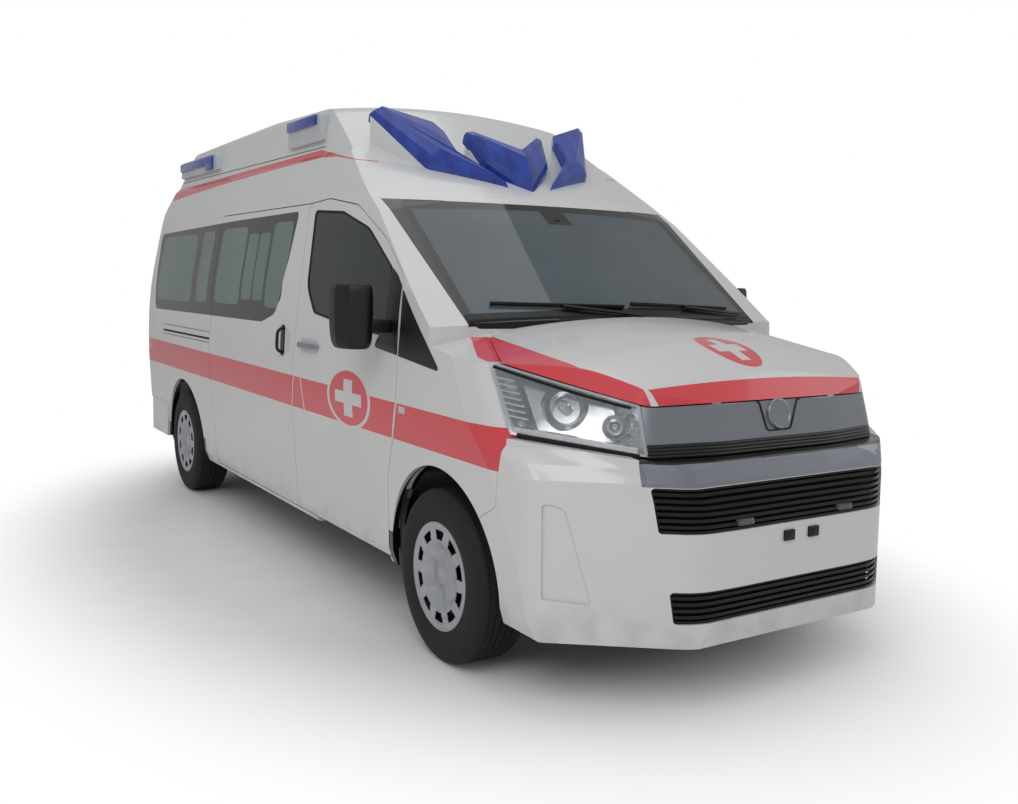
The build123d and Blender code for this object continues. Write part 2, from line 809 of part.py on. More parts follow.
bumper = BUMPER_WALL & along_x(outline(BUMPER_EDGE_ROWS), -1100, 1100)
bumper = bumper - along_z(plan_face(BUMPER_TOP_PLAN, BUMPER_LIP), BUMPER_TOP_Z - 2 * BUMPER_SKIN, 1400)
bumper = cut(bumper, arches(ARCH_RADIUS))
bumper = cut(bumper, front_zone(UPPER_GRILLE_ROWS), front_zone(LOWER_GRILLE_ROWS))
trim_skin = BUMPER_OUTER - bumper_form(TRIM_DEPTH)
for recess in both(along_y(outline(RECESS_ROWS), FRONT_Y, FRONT_Y + 500)):
    bumper = bumper - (trim_skin & recess)
bumper = bumper - ((BUMPER_OUTER - bumper_form(BAR_SEAT_DEPTH)) & front_zone(BAR_ROWS, SEAT_GAP))
save("front_bumper", bumper)

slat_band = bumper_form(GRILLE_SET) - bumper_form(GRILLE_SET + GRILLE_THICK)


def grille(rows, count):
    """Slats that fill one bumper opening, with end posts that join them."""
    low, high = rows[0][1], rows[1][1]
    pitch = (high - low) / count
    bars = front_zone(rows, -SEAT_GAP) - front_zone(rows, -GRILLE_RIM)
    for index in range(1, count):
        middle = low + index * pitch
        bars = bars + box(-620, 620, FRONT_Y - 150, FRONT_Y + 210, middle - SLAT / 2, middle + SLAT / 2)
    return slat_band & bars & front_zone(rows, -SEAT_GAP)


save("bumper_grilles", grille(UPPER_GRILLE_ROWS, 7), grille(LOWER_GRILLE_ROWS, 5))

panel_reach = box(SEAT_GAP - LAMP_IN_X, LAMP_IN_X - SEAT_GAP, -3000, -2700, BUMPER_TOP_Z + 6, 1132)
bumper_gap = along_x(outline(inset_rows(BUMPER_EDGE_ROWS, -1)), -1100, 1100)
stop_gap = bonnet_gap
for x in BONNET_STOP_XS:
    stop_gap = stop_gap - box(x - 20, x + 20, -3100, -2000, 900, 1500)
bonnet_seat = along_x(outline(inset_rows(BONNET_ROWS, -SEAT_GAP)), -1100, 1100)
panel = cut(NOSE_WALL & panel_reach, stop_gap, bonnet_seat, bumper_gap)
save("grille_panel", panel, trim_skin & front_zone(BAR_ROWS))

lamp_zone = along_x(outline(LAMP_ROWS), LAMP_IN_X, 1100)
lens = (nose_form(GLASS_SET) - nose_form(GLASS_SET + 4)) & lamp_zone
tray = (nose_form(GLASS_SET + 4 + SEAT_GAP) - nose_form(LAMP_TRAY)) & lamp_zone
hollow = along_x(outline(inset_rows(LAMP_ROWS, 8)), 591, 1100) & (NOSE_OUTER - nose_form(LAMP_TRAY - 10))
tray = tray - hollow
save("headlamps", both(tray))
save("headlamp_lenses", both(lens))

# Rear bumper

rear_bumper = along_x(outline(REAR_BUMPER_ROWS), -1100, 1100)
rear_bumper = rear_bumper & along_z(plan_face(REAR_BUMPER_PLAN, 0), 100, 1000)
rear_inner = along_x(outline(inset_rows(REAR_BUMPER_ROWS, BUMPER_SKIN)), -1100, 1100)
rear_inner = rear_inner + box(-1100, 1100, REAR_BUMPER_Y - 50, REAR_Y - 80, 100, REAR_BUMPER_TOP_Z - BUMPER_SKIN)
rear_bumper = rear_bumper - (rear_inner & along_z(plan_face(REAR_BUMPER_PLAN, BUMPER_SKIN), 0, 1000))
rear_bumper = rear_bumper - along_z(plan_face(REAR_BUMPER_PLAN, BUMPER_SKIN + 35), 500, 700)
save("rear_bumper", rear_bumper)

# Beacons on the roof


def half_space(a, b, c):
    """Everything below the plane through three points."""
    origin = Vector(*a)
    normal = (Vector(*b) - origin).cross(Vector(*c) - origin)
    normal = normal if normal.Z > 0 else normal * -1
    plane = Plane(origin=origin, z_dir=normal)
    return extrude(plane * Rectangle(6000, 6000), -3000)


def beacon(plan, top):
    """Lens with a sloping top, and the plinth below it that joins the roof, in one plan outline."""
    block = along_z(make_face(Polyline(*plan, close=True)), 1900, 2600)
    lowered = [(x, y, z - LENS_THICK) for x, y, z in top]
    plinth = (block & half_space(*lowered)) - GLASS_SEAT
    lens_seat = [(x, y, z + SEAT_GAP) for x, y, z in lowered]
    return (block & half_space(*top)) - half_space(*lens_seat) - CAB_SEAT, plinth


wedge, wedge_plinth = beacon(WEDGE_PLAN, WEDGE_TOP)
chevron_half, chevron_plinth = beacon(CHEVRON_PLAN, CHEVRON_TOP)
save("front_beacons", both(wedge), chevron_half + mirror(chevron_half, about=MIRRORED))
for plinth in solids_of(both(wedge_plinth), both(chevron_plinth)):
    high_roof = high_roof + plinth
save("high_roof", high_roof)

strobes = []
for y0, y1, z0, z1 in STROBE_ROWS:
    block = box(600, STROBE_OUT_X, y0, y1, z0, z1)
    strobes += both(block - CAB_SEAT)
save("side_strobes", strobes)

# Floor and chassis

floor = along_y(cross_face(WALL + SEAT_GAP), -1765 + SEAT_GAP, 2780)
floor = floor & box(-1100, 1100, -2000, 2860, FLOOR_Z - FLOOR_THICK, FLOOR_Z)
sills = along_y(cross_face(WALL + SEAT_GAP), -1475, 1440) & box(-1100, 1100, -1475, 1440, 330, FLOOR_Z - 10)
floor = floor + (sills - box(-SILL_IN_X, SILL_IN_X, -1500, 1500, 300, 700))
floor = cut(floor, arches(ARCH_RADIUS + LINER + SEAT_GAP, ARCH_IN_X - LINER - SEAT_GAP, (FRONT_AXLE_Y,)))
rear_box = tube_x(ARCH_RADIUS + LINER, ARCH_IN_X - LINER, 1000, REAR_AXLE_Y, TYRE_RADIUS)
rear_box = rear_box & along_y(cross_face(WALL + SEAT_GAP), 1300, 2600) & box(400, 1100, 1300, 2600, 540, 1000)
for wheel_box in both(rear_box):
    floor = floor + wheel_box
save("floor", cut(floor, arches(ARCH_RADIUS, axles=(REAR_AXLE_Y,))))

chassis = Part()
for side in (1, -1):
    chassis += box(side * RAIL_X - RAIL / 2, side * RAIL_X + RAIL / 2, -2800, 2860, RAIL_Z, FLOOR_Z - FLOOR_THICK)
for y in CROSSMEMBER_YS:
    chassis += box(-RAIL_X, RAIL_X, y - 35, y + 35, RAIL_Z + 10, RAIL_Z + 70)
chassis += box(-440, 440, FRONT_Y, -2790, 520, 600) & bumper_form(BUMPER_SKIN + SEAT_GAP)
chassis += box(-700, 700, 2840, REAR_Y - BUMPER_SKIN - SEAT_GAP, 460, 540)
save("chassis_frame", chassis)

# Running gear


def front_axle_side():
    """Lower arm with its ball pin, and the strut with its tower, on the left side."""
    arm = box(370, 775, FRONT_AXLE_Y - 30, FRONT_AXLE_Y + 30, 178, 205)
    arm += box(370, 430, FRONT_AXLE_Y - 30, FRONT_AXLE_Y + 300, 178, 205)
    arm += rod(kingpin_point(190), kingpin_point(240), PIN)
    strut = rod(kingpin_point(532 + SEAT_GAP), kingpin_point(TOWER_Z), STRUT)
    strut += rod(kingpin_point(480), kingpin_point(540), PIN)
    tower = box(RAIL_X + RAIL / 2 + SEAT_GAP, 680, FRONT_AXLE_Y - 55, FRONT_AXLE_Y + 55, TOWER_Z, TOWER_Z + 14)
    tower += box(RAIL_X + RAIL / 2 + SEAT_GAP, ARCH_IN_X - LINER - SEAT_GAP,
                 FRONT_AXLE_Y - 55, FRONT_AXLE_Y + 55, RAIL_Z + 20, TOWER_Z)
    return arm, strut + rod(kingpin_point(TOWER_Z - 15), kingpin_point(TOWER_Z + 10), STRUT) + tower


arm, strut = front_axle_side()
subframe = box(-400, 400, FRONT_AXLE_Y - 40, FRONT_AXLE_Y + 320, 185, 235)
subframe = subframe - box(-330, 330, FRONT_AXLE_Y + 40, FRONT_AXLE_Y + 240, 100, 300)
for side in (1, -1):
    subframe += box(side * 400 - 30, side * 400 + 30, FRONT_AXLE_Y - 40, FRONT_AXLE_Y + 20, 235, RAIL_Z)
save("front_axle", subframe + arm + mirror(arm, about=MIRRORED), both(strut))

knuckle = box(712, 772, FRONT_AXLE_Y - 45, FRONT_AXLE_Y + 45, 222, 470)
knuckle += rod(kingpin_point(420), kingpin_point(525), 34)
knuckle += rod(kingpin_point(222), kingpin_point(270), 30)
knuckle += tube_x(STUB_RADIUS, 760, 905, FRONT_AXLE_Y, TYRE_RADIUS)
knuckle += tube_x(60, 772, 790, FRONT_AXLE_Y, TYRE_RADIUS)
knuckle += box(700, 740, FRONT_AXLE_Y + 30, FRONT_AXLE_Y + 150, 300, 325)
knuckle -= rod(kingpin_point(150), kingpin_point(250), PIN + SEAT_GAP)
knuckle -= rod(kingpin_point(470), kingpin_point(600), PIN + SEAT_GAP)
save("knuckle_left", knuckle)
save("knuckle_right", mirror(knuckle, about=MIRRORED))

rear_axle = tube_x(42, -760, 760, REAR_AXLE_Y, TYRE_RADIUS)
rear_axle += Pos(0, REAR_AXLE_Y, TYRE_RADIUS) * Sphere(125)
rear_axle += tube_x(STUB_RADIUS, -905, 905, REAR_AXLE_Y, TYRE_RADIUS)
rear_axle += tube_y(38, -1250, REAR_AXLE_Y, 0, TYRE_RADIUS + 20)
springs = []
for side in (1, -1):
    leaf = box(side * 545 - 32, side * 545 + 32, REAR_AXLE_Y - 640, REAR_AXLE_Y + 640, 398 + SEAT_GAP, 428)
    leaf += box(side * 545 - 32, side * 545 + 32, REAR_AXLE_Y - 640, REAR_AXLE_Y - 600, 428, RAIL_Z + 60)
    leaf += box(side * 545 - 32, side * 545 + 32, REAR_AXLE_Y + 600, REAR_AXLE_Y + 640, 428, RAIL_Z + 60)
    leaf += box(side * 500 - 45, side * 500 + 45, REAR_AXLE_Y - 640, REAR_AXLE_Y - 600, RAIL_Z + 20, RAIL_Z + 60)
    leaf += box(side * 500 - 45, side * 500 + 45, REAR_AXLE_Y + 600, REAR_AXLE_Y + 640, RAIL_Z + 20, RAIL_Z + 60)
    springs.append(leaf)
save("rear_axle", rear_axle, springs)


def wheel_pair(x_sign, axle_y):
    """Tyre and wheel at one corner, turned about the wheel's axis."""
    half = TYRE_WIDTH / 2
    tyre_rows = [
        (RIM_RADIUS + SEAT_GAP, 14 - half, 0),
        (RIM_RADIUS + 72, -half, 0),
        (TYRE_RADIUS - 24, 8 - half, 0),
        (TYRE_RADIUS, 30 - half, 0),
        (TYRE_RADIUS, half - 30, 0),
        (TYRE_RADIUS - 24, half - 8, 0),
        (RIM_RADIUS + 72, half, 0),
        (RIM_RADIUS + SEAT_GAP, half - 14, 0),
    ]
    wheel_rows = [
        (STUB_RADIUS + SEAT_GAP, 20, 0),
        (STUB_RADIUS + SEAT_GAP, 90, 0),
        (72, 96, 0),
        (112, 108, 0),
        (184, 98, 0),
        (RIM_RADIUS, half - 9, 0),
        (RIM_RADIUS, 11 - half, 0),
        (RIM_RADIUS - 13, 11 - half, 0),
        (RIM_RADIUS - 15, 60, 0),
        (112, 82, 0),
        (HUB_RADIUS, 70, 0),
        (HUB_RADIUS, 20, 0),
    ]
    axis = Axis((0, 0, 0), (0, 1, 0))
    tyre = revolve(outline(tyre_rows), axis, 360)
    wheel = revolve(outline(wheel_rows), axis, 360)
    window = box(140, 182, -200, 200, -24, 24)
    for index in range(10):
        wheel -= Rot(0, 36 * index, 0) * window
    turn = Rot(0, 0, -90 * x_sign)
    place = Pos(x_sign * HALF_TRACK, axle_y, TYRE_RADIUS)
    return place * turn * tyre, place * turn * wheel


for name, x_sign, axle_y in (
    ("fl", 1, FRONT_AXLE_Y),
    ("fr", -1, FRONT_AXLE_Y),
    ("rl", 1, REAR_AXLE_Y),
    ("rr", -1, REAR_AXLE_Y),
):
    tyre, wheel = wheel_pair(x_sign, axle_y)
    save("tyre_" + name, tyre)
    save("wheel_" + name, wheel)

engine = box(-290, 290, -2560, -1830, 480, 1080)
rail_in = RAIL_X - RAIL / 2 - SEAT_GAP
save("engine", engine + box(-rail_in, rail_in, -2260, -2180, 500, 540))
save("fuel_tank", box(500, 760, -300, 560, 330, FLOOR_Z - FLOOR_THICK))
exhaust_z = RAIL_Z + 10 - SEAT_GAP - 70
exhaust = tube_y(30, -1100, 1100, -250, exhaust_z) + tube_y(70, -400, 300, -250, exhaust_z)
save("exhaust", exhaust)
spare_top = RAIL_Z + 10 - SEAT_GAP
spare = tube_z(335, spare_top - 110, spare_top, 0, SPARE_Y) - tube_z(180, spare_top - 150, spare_top - 40, 0, SPARE_Y)
save("spare_wheel", spare)

# Cab and load space

dashboard = along_x(outline(DASH_ROWS), -850, 850)
save("dashboard", dashboard)
wheel_plane = Plane(origin=(STEER_X, STEER_Y, STEER_Z), z_dir=(0, STEER_TILT[0], STEER_TILT[1]))
ring = wheel_plane * Torus(185, 15)
spokes = extrude(wheel_plane * Rectangle(350, 40), 8, both=True) + extrude(wheel_plane * Circle(50), 25, both=True)
column = rod((STEER_X, STEER_Y, STEER_Z), (STEER_X, STEER_Y - 280, STEER_Z - 160), 32)
save("steering_wheel", (ring + spokes + column) - dashboard)

seats = []
for x in (-430, 430):
    seats.append(box(x - 240, x + 240, -1130, -640, FLOOR_Z + SEAT_GAP, 800 - SEAT_GAP))
    seats.append(along_x(outline(SEAT_ROWS), x - 250, x + 250))
save("front_seats", seats)
partition = along_y(cross_face(WALL + PILLAR + SEAT_GAP), -435, -405)
partition = partition & box(-1100, 1100, -500, -300, FLOOR_Z + SEAT_GAP, GUTTER_Z)
save("partition", partition - box(-350, 350, -500, -300, 1250, 1750))
bench = box(-850, -420, 1250, 2600, 1020 + SEAT_GAP, 1120)
save("bench_seat", bench, box(-495, -440, 1255, 2595, FLOOR_Z + SEAT_GAP, 1020))
save("stretcher", box(-120, 440, 250, 2200, 900, 980) + box(-60, 380, 400, 2000, FLOOR_Z + SEAT_GAP, 900))
save("cabinet", box(600, 830, 300, 1440, FLOOR_Z + SEAT_GAP, 1280) + box(600, 830, 1440, 2700, 830, 1280))

# Mirrors

for name, side in (("left", 1), ("right", -1)):
    head = Pos(side * 1105, -1470, 1387) * Rot(0, 0, side * 22) * fillet(Box(150, 100, 275).edges(), 30)
    arm = box(930, 1060, -1550, -1490, 1300, 1345)
    arm = arm if side > 0 else mirror(arm, about=MIRRORED)
    save("mirror_" + name, (head + arm) - CAB_OUTER)
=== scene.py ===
import logging
import math
from dataclasses import dataclass
from enum import Enum
from typing import Callable, List, Optional, Sequence, Tuple, Union

import bmesh
import bpy
import numpy as np
from mathutils import Matrix, Vector


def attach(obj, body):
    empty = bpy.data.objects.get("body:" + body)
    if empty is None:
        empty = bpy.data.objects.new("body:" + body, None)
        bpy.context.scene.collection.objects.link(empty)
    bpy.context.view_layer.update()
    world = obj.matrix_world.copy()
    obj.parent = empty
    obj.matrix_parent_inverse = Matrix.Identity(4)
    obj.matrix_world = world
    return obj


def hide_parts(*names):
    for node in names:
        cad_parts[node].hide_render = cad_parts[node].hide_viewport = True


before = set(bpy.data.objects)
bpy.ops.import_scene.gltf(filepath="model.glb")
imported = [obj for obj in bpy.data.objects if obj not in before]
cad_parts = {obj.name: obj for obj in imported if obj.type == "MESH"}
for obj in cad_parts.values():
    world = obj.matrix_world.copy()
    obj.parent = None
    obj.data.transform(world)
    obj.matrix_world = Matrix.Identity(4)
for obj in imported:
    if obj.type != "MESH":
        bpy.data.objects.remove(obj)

LOG = logging.getLogger("ambulance")
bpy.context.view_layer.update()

Colour = Tuple[float, float, float]
Pair = Tuple[float, float]
Point = Tuple[float, float, float]

SIDES = (("left", 1.0), ("right", -1.0))
FRONT_AXLE_Y = -1.9425
REAR_AXLE_Y = 1.9175
HALF_TRACK = 0.835
TYRE_RADIUS = 0.356


class Body(Enum):
    """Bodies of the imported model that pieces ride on, besides the cab doors and the wheels."""

    SHELL = "body"
    TAILGATE = "tailgate"


class Corner(Enum):
    """The four wheels: name, side and axle."""

    FRONT_LEFT = ("fl", 1.0, FRONT_AXLE_Y)
    FRONT_RIGHT = ("fr", -1.0, FRONT_AXLE_Y)
    REAR_LEFT = ("rl", 1.0, REAR_AXLE_Y)
    REAR_RIGHT = ("rr", -1.0, REAR_AXLE_Y)


def linear(red: int, green: int, blue: int) -> Colour:
    """Scene-linear colour of an sRGB colour given from 0 to 255.

    Args:
        red: Red part.
        green: Green part.
        blue: Blue part.

    Returns:
        The three linear parts: ((c + 0.055) / 1.055) to the power 2.4, or c / 12.92 where dark.
    """
    parts = np.array([red, green, blue]) / 255.0
    bright = ((parts + 0.055) / 1.055) ** 2.4
    return tuple(float(v) for v in np.where(parts < 0.04045, parts / 12.92, bright))


# Shader maths


class Term:
    """A number socket of a shader that takes Python's operators."""

    def __init__(self, bench: "Bench", socket: bpy.types.NodeSocket) -> None:
        """Wrap a socket of the bench's node tree."""
        self.bench = bench
        self.socket = socket

    def act(self, operation: str, *others: "Number") -> "Term":
        """Add one Math node that starts from this socket.

        Args:
            operation: The Math node's operation.
            others: Its further inputs, sockets or numbers.

        Returns:
            The node's result.
        """
        return self.bench.maths(operation, self, *others)

    def __add__(self, other: "Number") -> "Term":
        """Sum."""
        return self.act("ADD", other)

    def __radd__(self, other: "Number") -> "Term":
        """Sum with a number before."""
        return self.act("ADD", other)

    def __sub__(self, other: "Number") -> "Term":
        """Difference."""
        return self.act("SUBTRACT", other)

    def __rsub__(self, other: "Number") -> "Term":
        """Difference from a number before."""
        return self.bench.maths("SUBTRACT", other, self)

    def __mul__(self, other: "Number") -> "Term":
        """Product."""
        return self.act("MULTIPLY", other)

    def __rmul__(self, other: "Number") -> "Term":
        """Product with a number before."""
        return self.act("MULTIPLY", other)

    def __truediv__(self, other: "Number") -> "Term":
        """Quotient."""
        return self.act("DIVIDE", other)

    def __rtruediv__(self, other: "Number") -> "Term":
        """Quotient of a number before."""
        return self.bench.maths("DIVIDE", other, self)

    def __pow__(self, other: "Number") -> "Term":
        """Power."""
        return self.act("POWER", other)

    def __abs__(self) -> "Term":
        """Size without sign."""
        return self.act("ABSOLUTE")

    def __gt__(self, other: "Number") -> "Term":
        """1 where it is greater, else 0."""
        return self.act("GREATER_THAN", other)

    def __lt__(self, other: "Number") -> "Term":
        """1 where it is less, else 0."""
        return self.act("LESS_THAN", other)

    def sine(self) -> "Term":
        """Sine of the value in radians."""
        return self.act("SINE")

    def least(self, other: "Number") -> "Term":
        """The smaller of two."""
        return self.act("MINIMUM", other)

    def most(self, other: "Number") -> "Term":
        """The larger of two."""
        return self.act("MAXIMUM", other)

    def within(self, low: "Number", high: "Number") -> "Term":
        """1 between two limits, else 0."""
        return (self > low) * (self < high)

    def rise(self, low: float, high: float) -> "Term":
        """Smooth step from 0 at low to 1 at high."""
        node = self.bench.node(
            "ShaderNodeMapRange",
            {"interpolation_type": "SMOOTHSTEP"},
            {"Value": self, "From Min": low, "From Max": high},
        )
        return Term(self.bench, node.outputs["Result"])


Number = Union[Term, float, int]


class Bench:
    """Builds the node tree of one material or world."""

    def __init__(self, owner: Union[bpy.types.Material, bpy.types.World]) -> None:
        """Start the owner's tree empty."""
        self.owner = owner
        self.owner.use_nodes = True
        self.tree = self.owner.node_tree
        self.tree.nodes.clear()
        self._place: Optional[bpy.types.NodeSocket] = None

    def node(self, kind: str, settings: Optional[dict] = None,
             inputs: Optional[dict] = None) -> bpy.types.Node:
        """Add a node.

        Args:
            kind: Node type.
            settings: Its own properties, set first.
            inputs: Values or links of its sockets, by name or index.

        Returns:
            The node.
        """
        made = self.tree.nodes.new(kind)
        for key, value in (settings or {}).items():
            setattr(made, key, value)
        for key, value in (inputs or {}).items():
            self.feed(made.inputs[key], value)
        return made

    def feed(self, socket: bpy.types.NodeSocket, value: object) -> None:
        """Link a socket to a term or socket, or set it to a number or colour."""
        if isinstance(value, Term):
            value = value.socket
        if isinstance(value, bpy.types.NodeSocket):
            self.tree.links.new(value, socket)
        elif isinstance(value, tuple) and len(value) == 3 and socket.type == "RGBA":
            socket.default_value = (*value, 1.0)
        else:
            socket.default_value = value

    def maths(self, operation: str, *values: Number) -> Term:
        """Add a Math node on up to three values."""
        made = self.node("ShaderNodeMath", {"operation": operation}, dict(enumerate(values)))
        return Term(self, made.outputs[0])

    def place(self) -> bpy.types.NodeSocket:
        """The Object coordinates."""
        if self._place is None:
            self._place = self.node("ShaderNodeTexCoord").outputs["Object"]
        return self._place

    def axes(self) -> Tuple[Term, Term, Term]:
        """The three Object coordinates as terms."""
        split = self.node("ShaderNodeSeparateXYZ", inputs={0: self.place()})
        return tuple(Term(self, split.outputs[i]) for i in range(3))

    def noise(self, scale: float, detail: float = 2.0, stretch: Point = (1.0, 1.0, 1.0)) -> Term:
        """Noise in Object coordinates.

        Args:
            scale: Waves per metre.
            detail: Octaves.
            stretch: Factor of each axis.

        Returns:
            A value near 0.5.
        """
        where = self.node("ShaderNodeMapping", inputs={"Vector": self.place(), "Scale": stretch}).outputs[0]
        made = self.node("ShaderNodeTexNoise", inputs={"Vector": where, "Scale": scale, "Detail": detail})
        return Term(self, made.outputs[0])

    def blend(self, share: Number, first: object, second: object) -> bpy.types.NodeSocket:
        """Mix two colours by a share of the second."""
        made = self.node("ShaderNodeMix", {"data_type": "RGBA"}, {"Factor": share})
        self.feed(made.inputs[6], first)
        self.feed(made.inputs[7], second)
        return made.outputs[2]

    def bump(self, height: Term, distance: float, strength: float = 1.0) -> bpy.types.NodeSocket:
        """Normal from a height, in metres times distance."""
        inputs = {"Height": height, "Distance": distance, "Strength": strength}
        return self.node("ShaderNodeBump", inputs=inputs).outputs[0]

    def seen(self) -> Term:
        """1 on rays from the camera and through glass, else 0."""
        path = self.node("ShaderNodeLightPath")
        return Term(self, path.outputs["Is Camera Ray"]).most(Term(self, path.outputs["Is Transmission Ray"]))

    def surface(self, **inputs: object) -> bpy.types.Material:
        """Close the tree with a Principled shader.

        Args:
            inputs: Its sockets, with underscores for spaces.

        Returns:
            The finished material.
        """
        named = {key.replace("_", " "): value for key, value in inputs.items()}
        shader = self.node("ShaderNodeBsdfPrincipled", inputs=named)
        self.node("ShaderNodeOutputMaterial", inputs={"Surface": shader.outputs[0]})
        return self.owner


# Shapes


def rounded(rows: Sequence[Tuple[float, float, float]], steps: int = 6) -> np.ndarray:
    """Points of a closed outline whose corners are curves.

    A corner's curve is start (1 - s)^2 + 2 corner s (1 - s) + end s^2, and its start and end lie on the two
    sides where a circle of the corner's radius would touch them.

    Args:
        rows: First axis, second axis and corner radius of each corner.
        steps: Segments of each curve.

    Returns:
        Array of points, two columns.
    """
    corners = np.array([row[:2] for row in rows])
    radii = np.array([row[2] for row in rows])
    before = np.roll(corners, 1, axis=0) - corners
    after = np.roll(corners, -1, axis=0) - corners
    before_length = np.linalg.norm(before, axis=1, keepdims=True)
    after_length = np.linalg.norm(after, axis=1, keepdims=True)
    before, after = before / before_length, after / after_length
    half = np.arccos(np.clip((before * after).sum(1), -1, 1)) / 2
    reach = np.minimum(radii / np.tan(half), 0.49 * np.minimum(before_length, after_length)[:, 0])
    share = np.linspace(0, 1, steps + 1)[None, :, None]
    start = (corners + before * reach[:, None])[:, None, :]
    end = (corners + after * reach[:, None])[:, None, :]
    bend = corners[:, None, :]
    arc = start * (1 - share) ** 2 + bend * 2 * share * (1 - share) + end * share**2
    return arc.reshape(-1, 2)


def rounded_box(low: Pair, high: Pair, radius: float, steps: int) -> np.ndarray:
    """Outline of a rectangle between two corners, with the same rounding at all four."""
    corners = (low, (high[0], low[1]), high, (low[0], high[1]))
    return rounded([(*corner, radius) for corner in corners], steps)


def oblong(half: float, low: float, high: float) -> np.ndarray:
    """Rectangular section: half its width, and its reach down and up from the path."""
    return np.array([(-half, -low), (half, -low), (half, high), (-half, high)])


def oval(half: float, rise: float, steps: int = 14) -> np.ndarray:
    """Elliptical section: cosine and sine of an even angle times the two half sizes."""
    angle = np.linspace(0, 2 * np.pi, steps, endpoint=False)
    return np.stack([np.cos(angle) * half, np.sin(angle) * rise], axis=1)


def quads_of(rows: int, columns: int, around: bool) -> np.ndarray:
    """Corner numbers of a grid's quads, closed around its columns if asked."""
    row = np.arange(rows - 1)[:, None]
    column = np.arange(columns if around else columns - 1)[None, :]
    after = (column + 1) % columns
    near, far = row * columns, (row + 1) * columns
    corners = (near + column, near + after, far + after, far + column)
    return np.stack(np.broadcast_arrays(*corners), axis=-1).reshape(-1, 4)


class Shell:
    """Gathers the surfaces of one piece and makes its object."""

    def __init__(self) -> None:
        """Start empty."""
        self.points: List[np.ndarray] = []
        self.faces: List[Sequence[int]] = []
        self.count = 0

    def add(self, points: np.ndarray, faces: Sequence[Sequence[int]]) -> "Shell":
        """Add points and the faces on them."""
        self.faces += [tuple(int(i) + self.count for i in face) for face in faces]
        self.points.append(np.asarray(points, dtype=float).reshape(-1, 3))
        self.count += len(self.points[-1])
        return self

    def grid(self, points: np.ndarray, around: bool = False, caps: str = "") -> "Shell":
        """Add a grid of points as quads, with its first row, last row or both closed as a face if asked."""
        rows, columns = points.shape[:2]
        faces = quads_of(rows, columns, around).tolist()
        if caps in ("first", "both"):
            faces.append(list(range(columns))[::-1])
        if caps in ("last", "both"):
            faces.append(list(range((rows - 1) * columns, rows * columns)))
        return self.add(points, faces)

    def slab(self, front: np.ndarray, back: np.ndarray, around: bool = False) -> "Shell":
        """Add two facing grids and the rims between their edges."""
        self.grid(front, around)
        self.grid(back, around)
        for edge in ((0, slice(None)), (-1, slice(None))):
            self.grid(np.stack([front[edge], back[edge]]), around)
        if not around:
            for edge in ((slice(None), 0), (slice(None), -1)):
                self.grid(np.stack([front[edge], back[edge]]))
        return self

    def sweep(self, path: np.ndarray, profile: np.ndarray, up: Point = (0.0, 0.0, 1.0),
              scale: Optional[np.ndarray] = None) -> "Shell":
        """Carry a closed profile along a path, its first axis sideways and its second near up.

        Each section is path + side * a + rise * b, where side = tangent x up and rise = side x tangent.

        Args:
            path: Points along the middle.
            profile: Section points, two columns.
            up: Direction that the second axis leans to.
            scale: Size factor of each section.

        Returns:
            This shell.
        """
        path = np.asarray(path, dtype=float)
        tangent = np.gradient(path, axis=0)
        tangent /= np.linalg.norm(tangent, axis=1, keepdims=True)
        side = np.cross(tangent, np.asarray(up))
        side /= np.linalg.norm(side, axis=1, keepdims=True)
        rise = np.cross(side, tangent)
        size = np.ones(len(path)) if scale is None else np.asarray(scale)
        section = np.asarray(profile)[None, :, :] * size[:, None, None]
        points = path[:, None, :] + side[:, None, :] * section[..., :1] + rise[:, None, :] * section[..., 1:]
        return self.grid(points, around=True, caps="both")

    def lathe(self, profile: np.ndarray, centre: Point, axis: Point, steps: int = 48) -> "Shell":
        """Turn a profile of distance a and radius r about an axis: centre + axis * a + radial * r."""
        axis = np.asarray(axis, dtype=float)
        axis /= np.linalg.norm(axis)
        helper = np.array([0.0, 0.0, 1.0]) if abs(axis[2]) < 0.9 else np.array([0.0, 1.0, 0.0])
        first = np.cross(axis, helper)
        first /= np.linalg.norm(first)
        second = np.cross(axis, first)
        angle = np.linspace(0, 2 * np.pi, steps, endpoint=False)
        radial = np.cos(angle)[:, None] * first + np.sin(angle)[:, None] * second
        profile = np.asarray(profile, dtype=float)
        points = np.asarray(centre) + profile[:, None, :1] * axis + profile[:, None, 1:] * radial[None]
        return self.grid(points, around=True, caps="both")

    def block(self, low: Point, high: Point, radius: float = 0.004, steps: int = 3) -> "Shell":
        """Box with rounded edges: a sphere's eight parts moved out to the box's corners.

        Args:
            low: Lowest corner.
            high: Highest corner.
            radius: Edge radius.
            steps: Segments of each quarter.

        Returns:
            This shell.
        """
        low, high = np.minimum(low, high), np.maximum(low, high)
        middle, half = (low + high) / 2, (high - low) / 2
        radius = min(radius, float(half.min()) * 0.98)
        part = np.linspace(0, np.pi / 2, steps + 1)
        turn = (np.arange(4)[:, None] * np.pi / 2 + part[None]).ravel()
        signs = np.repeat(np.array([[1, 1], [-1, 1], [-1, -1], [1, -1]]), steps + 1, axis=0)
        tilt = np.concatenate([-part[::-1], part])
        lift = np.repeat([-1.0, 1.0], steps + 1)
        reach = half - radius
        x = signs[None, :, 0] * reach[0] + radius * np.cos(tilt)[:, None] * np.cos(turn)[None]
        y = signs[None, :, 1] * reach[1] + radius * np.cos(tilt)[:, None] * np.sin(turn)[None]
        z = np.broadcast_to((lift * reach[2] + radius * np.sin(tilt))[:, None], x.shape)
        points = np.stack([x, y, z], axis=-1) + middle
        columns = points.shape[1]
        faces = quads_of(len(tilt), columns, True).tolist()
        quarter = steps + 1
        faces.append([q * quarter for q in (3, 2, 1, 0)])
        faces.append([(len(tilt) - 1) * columns + q * quarter for q in range(4)])
        return self.add(points, faces)

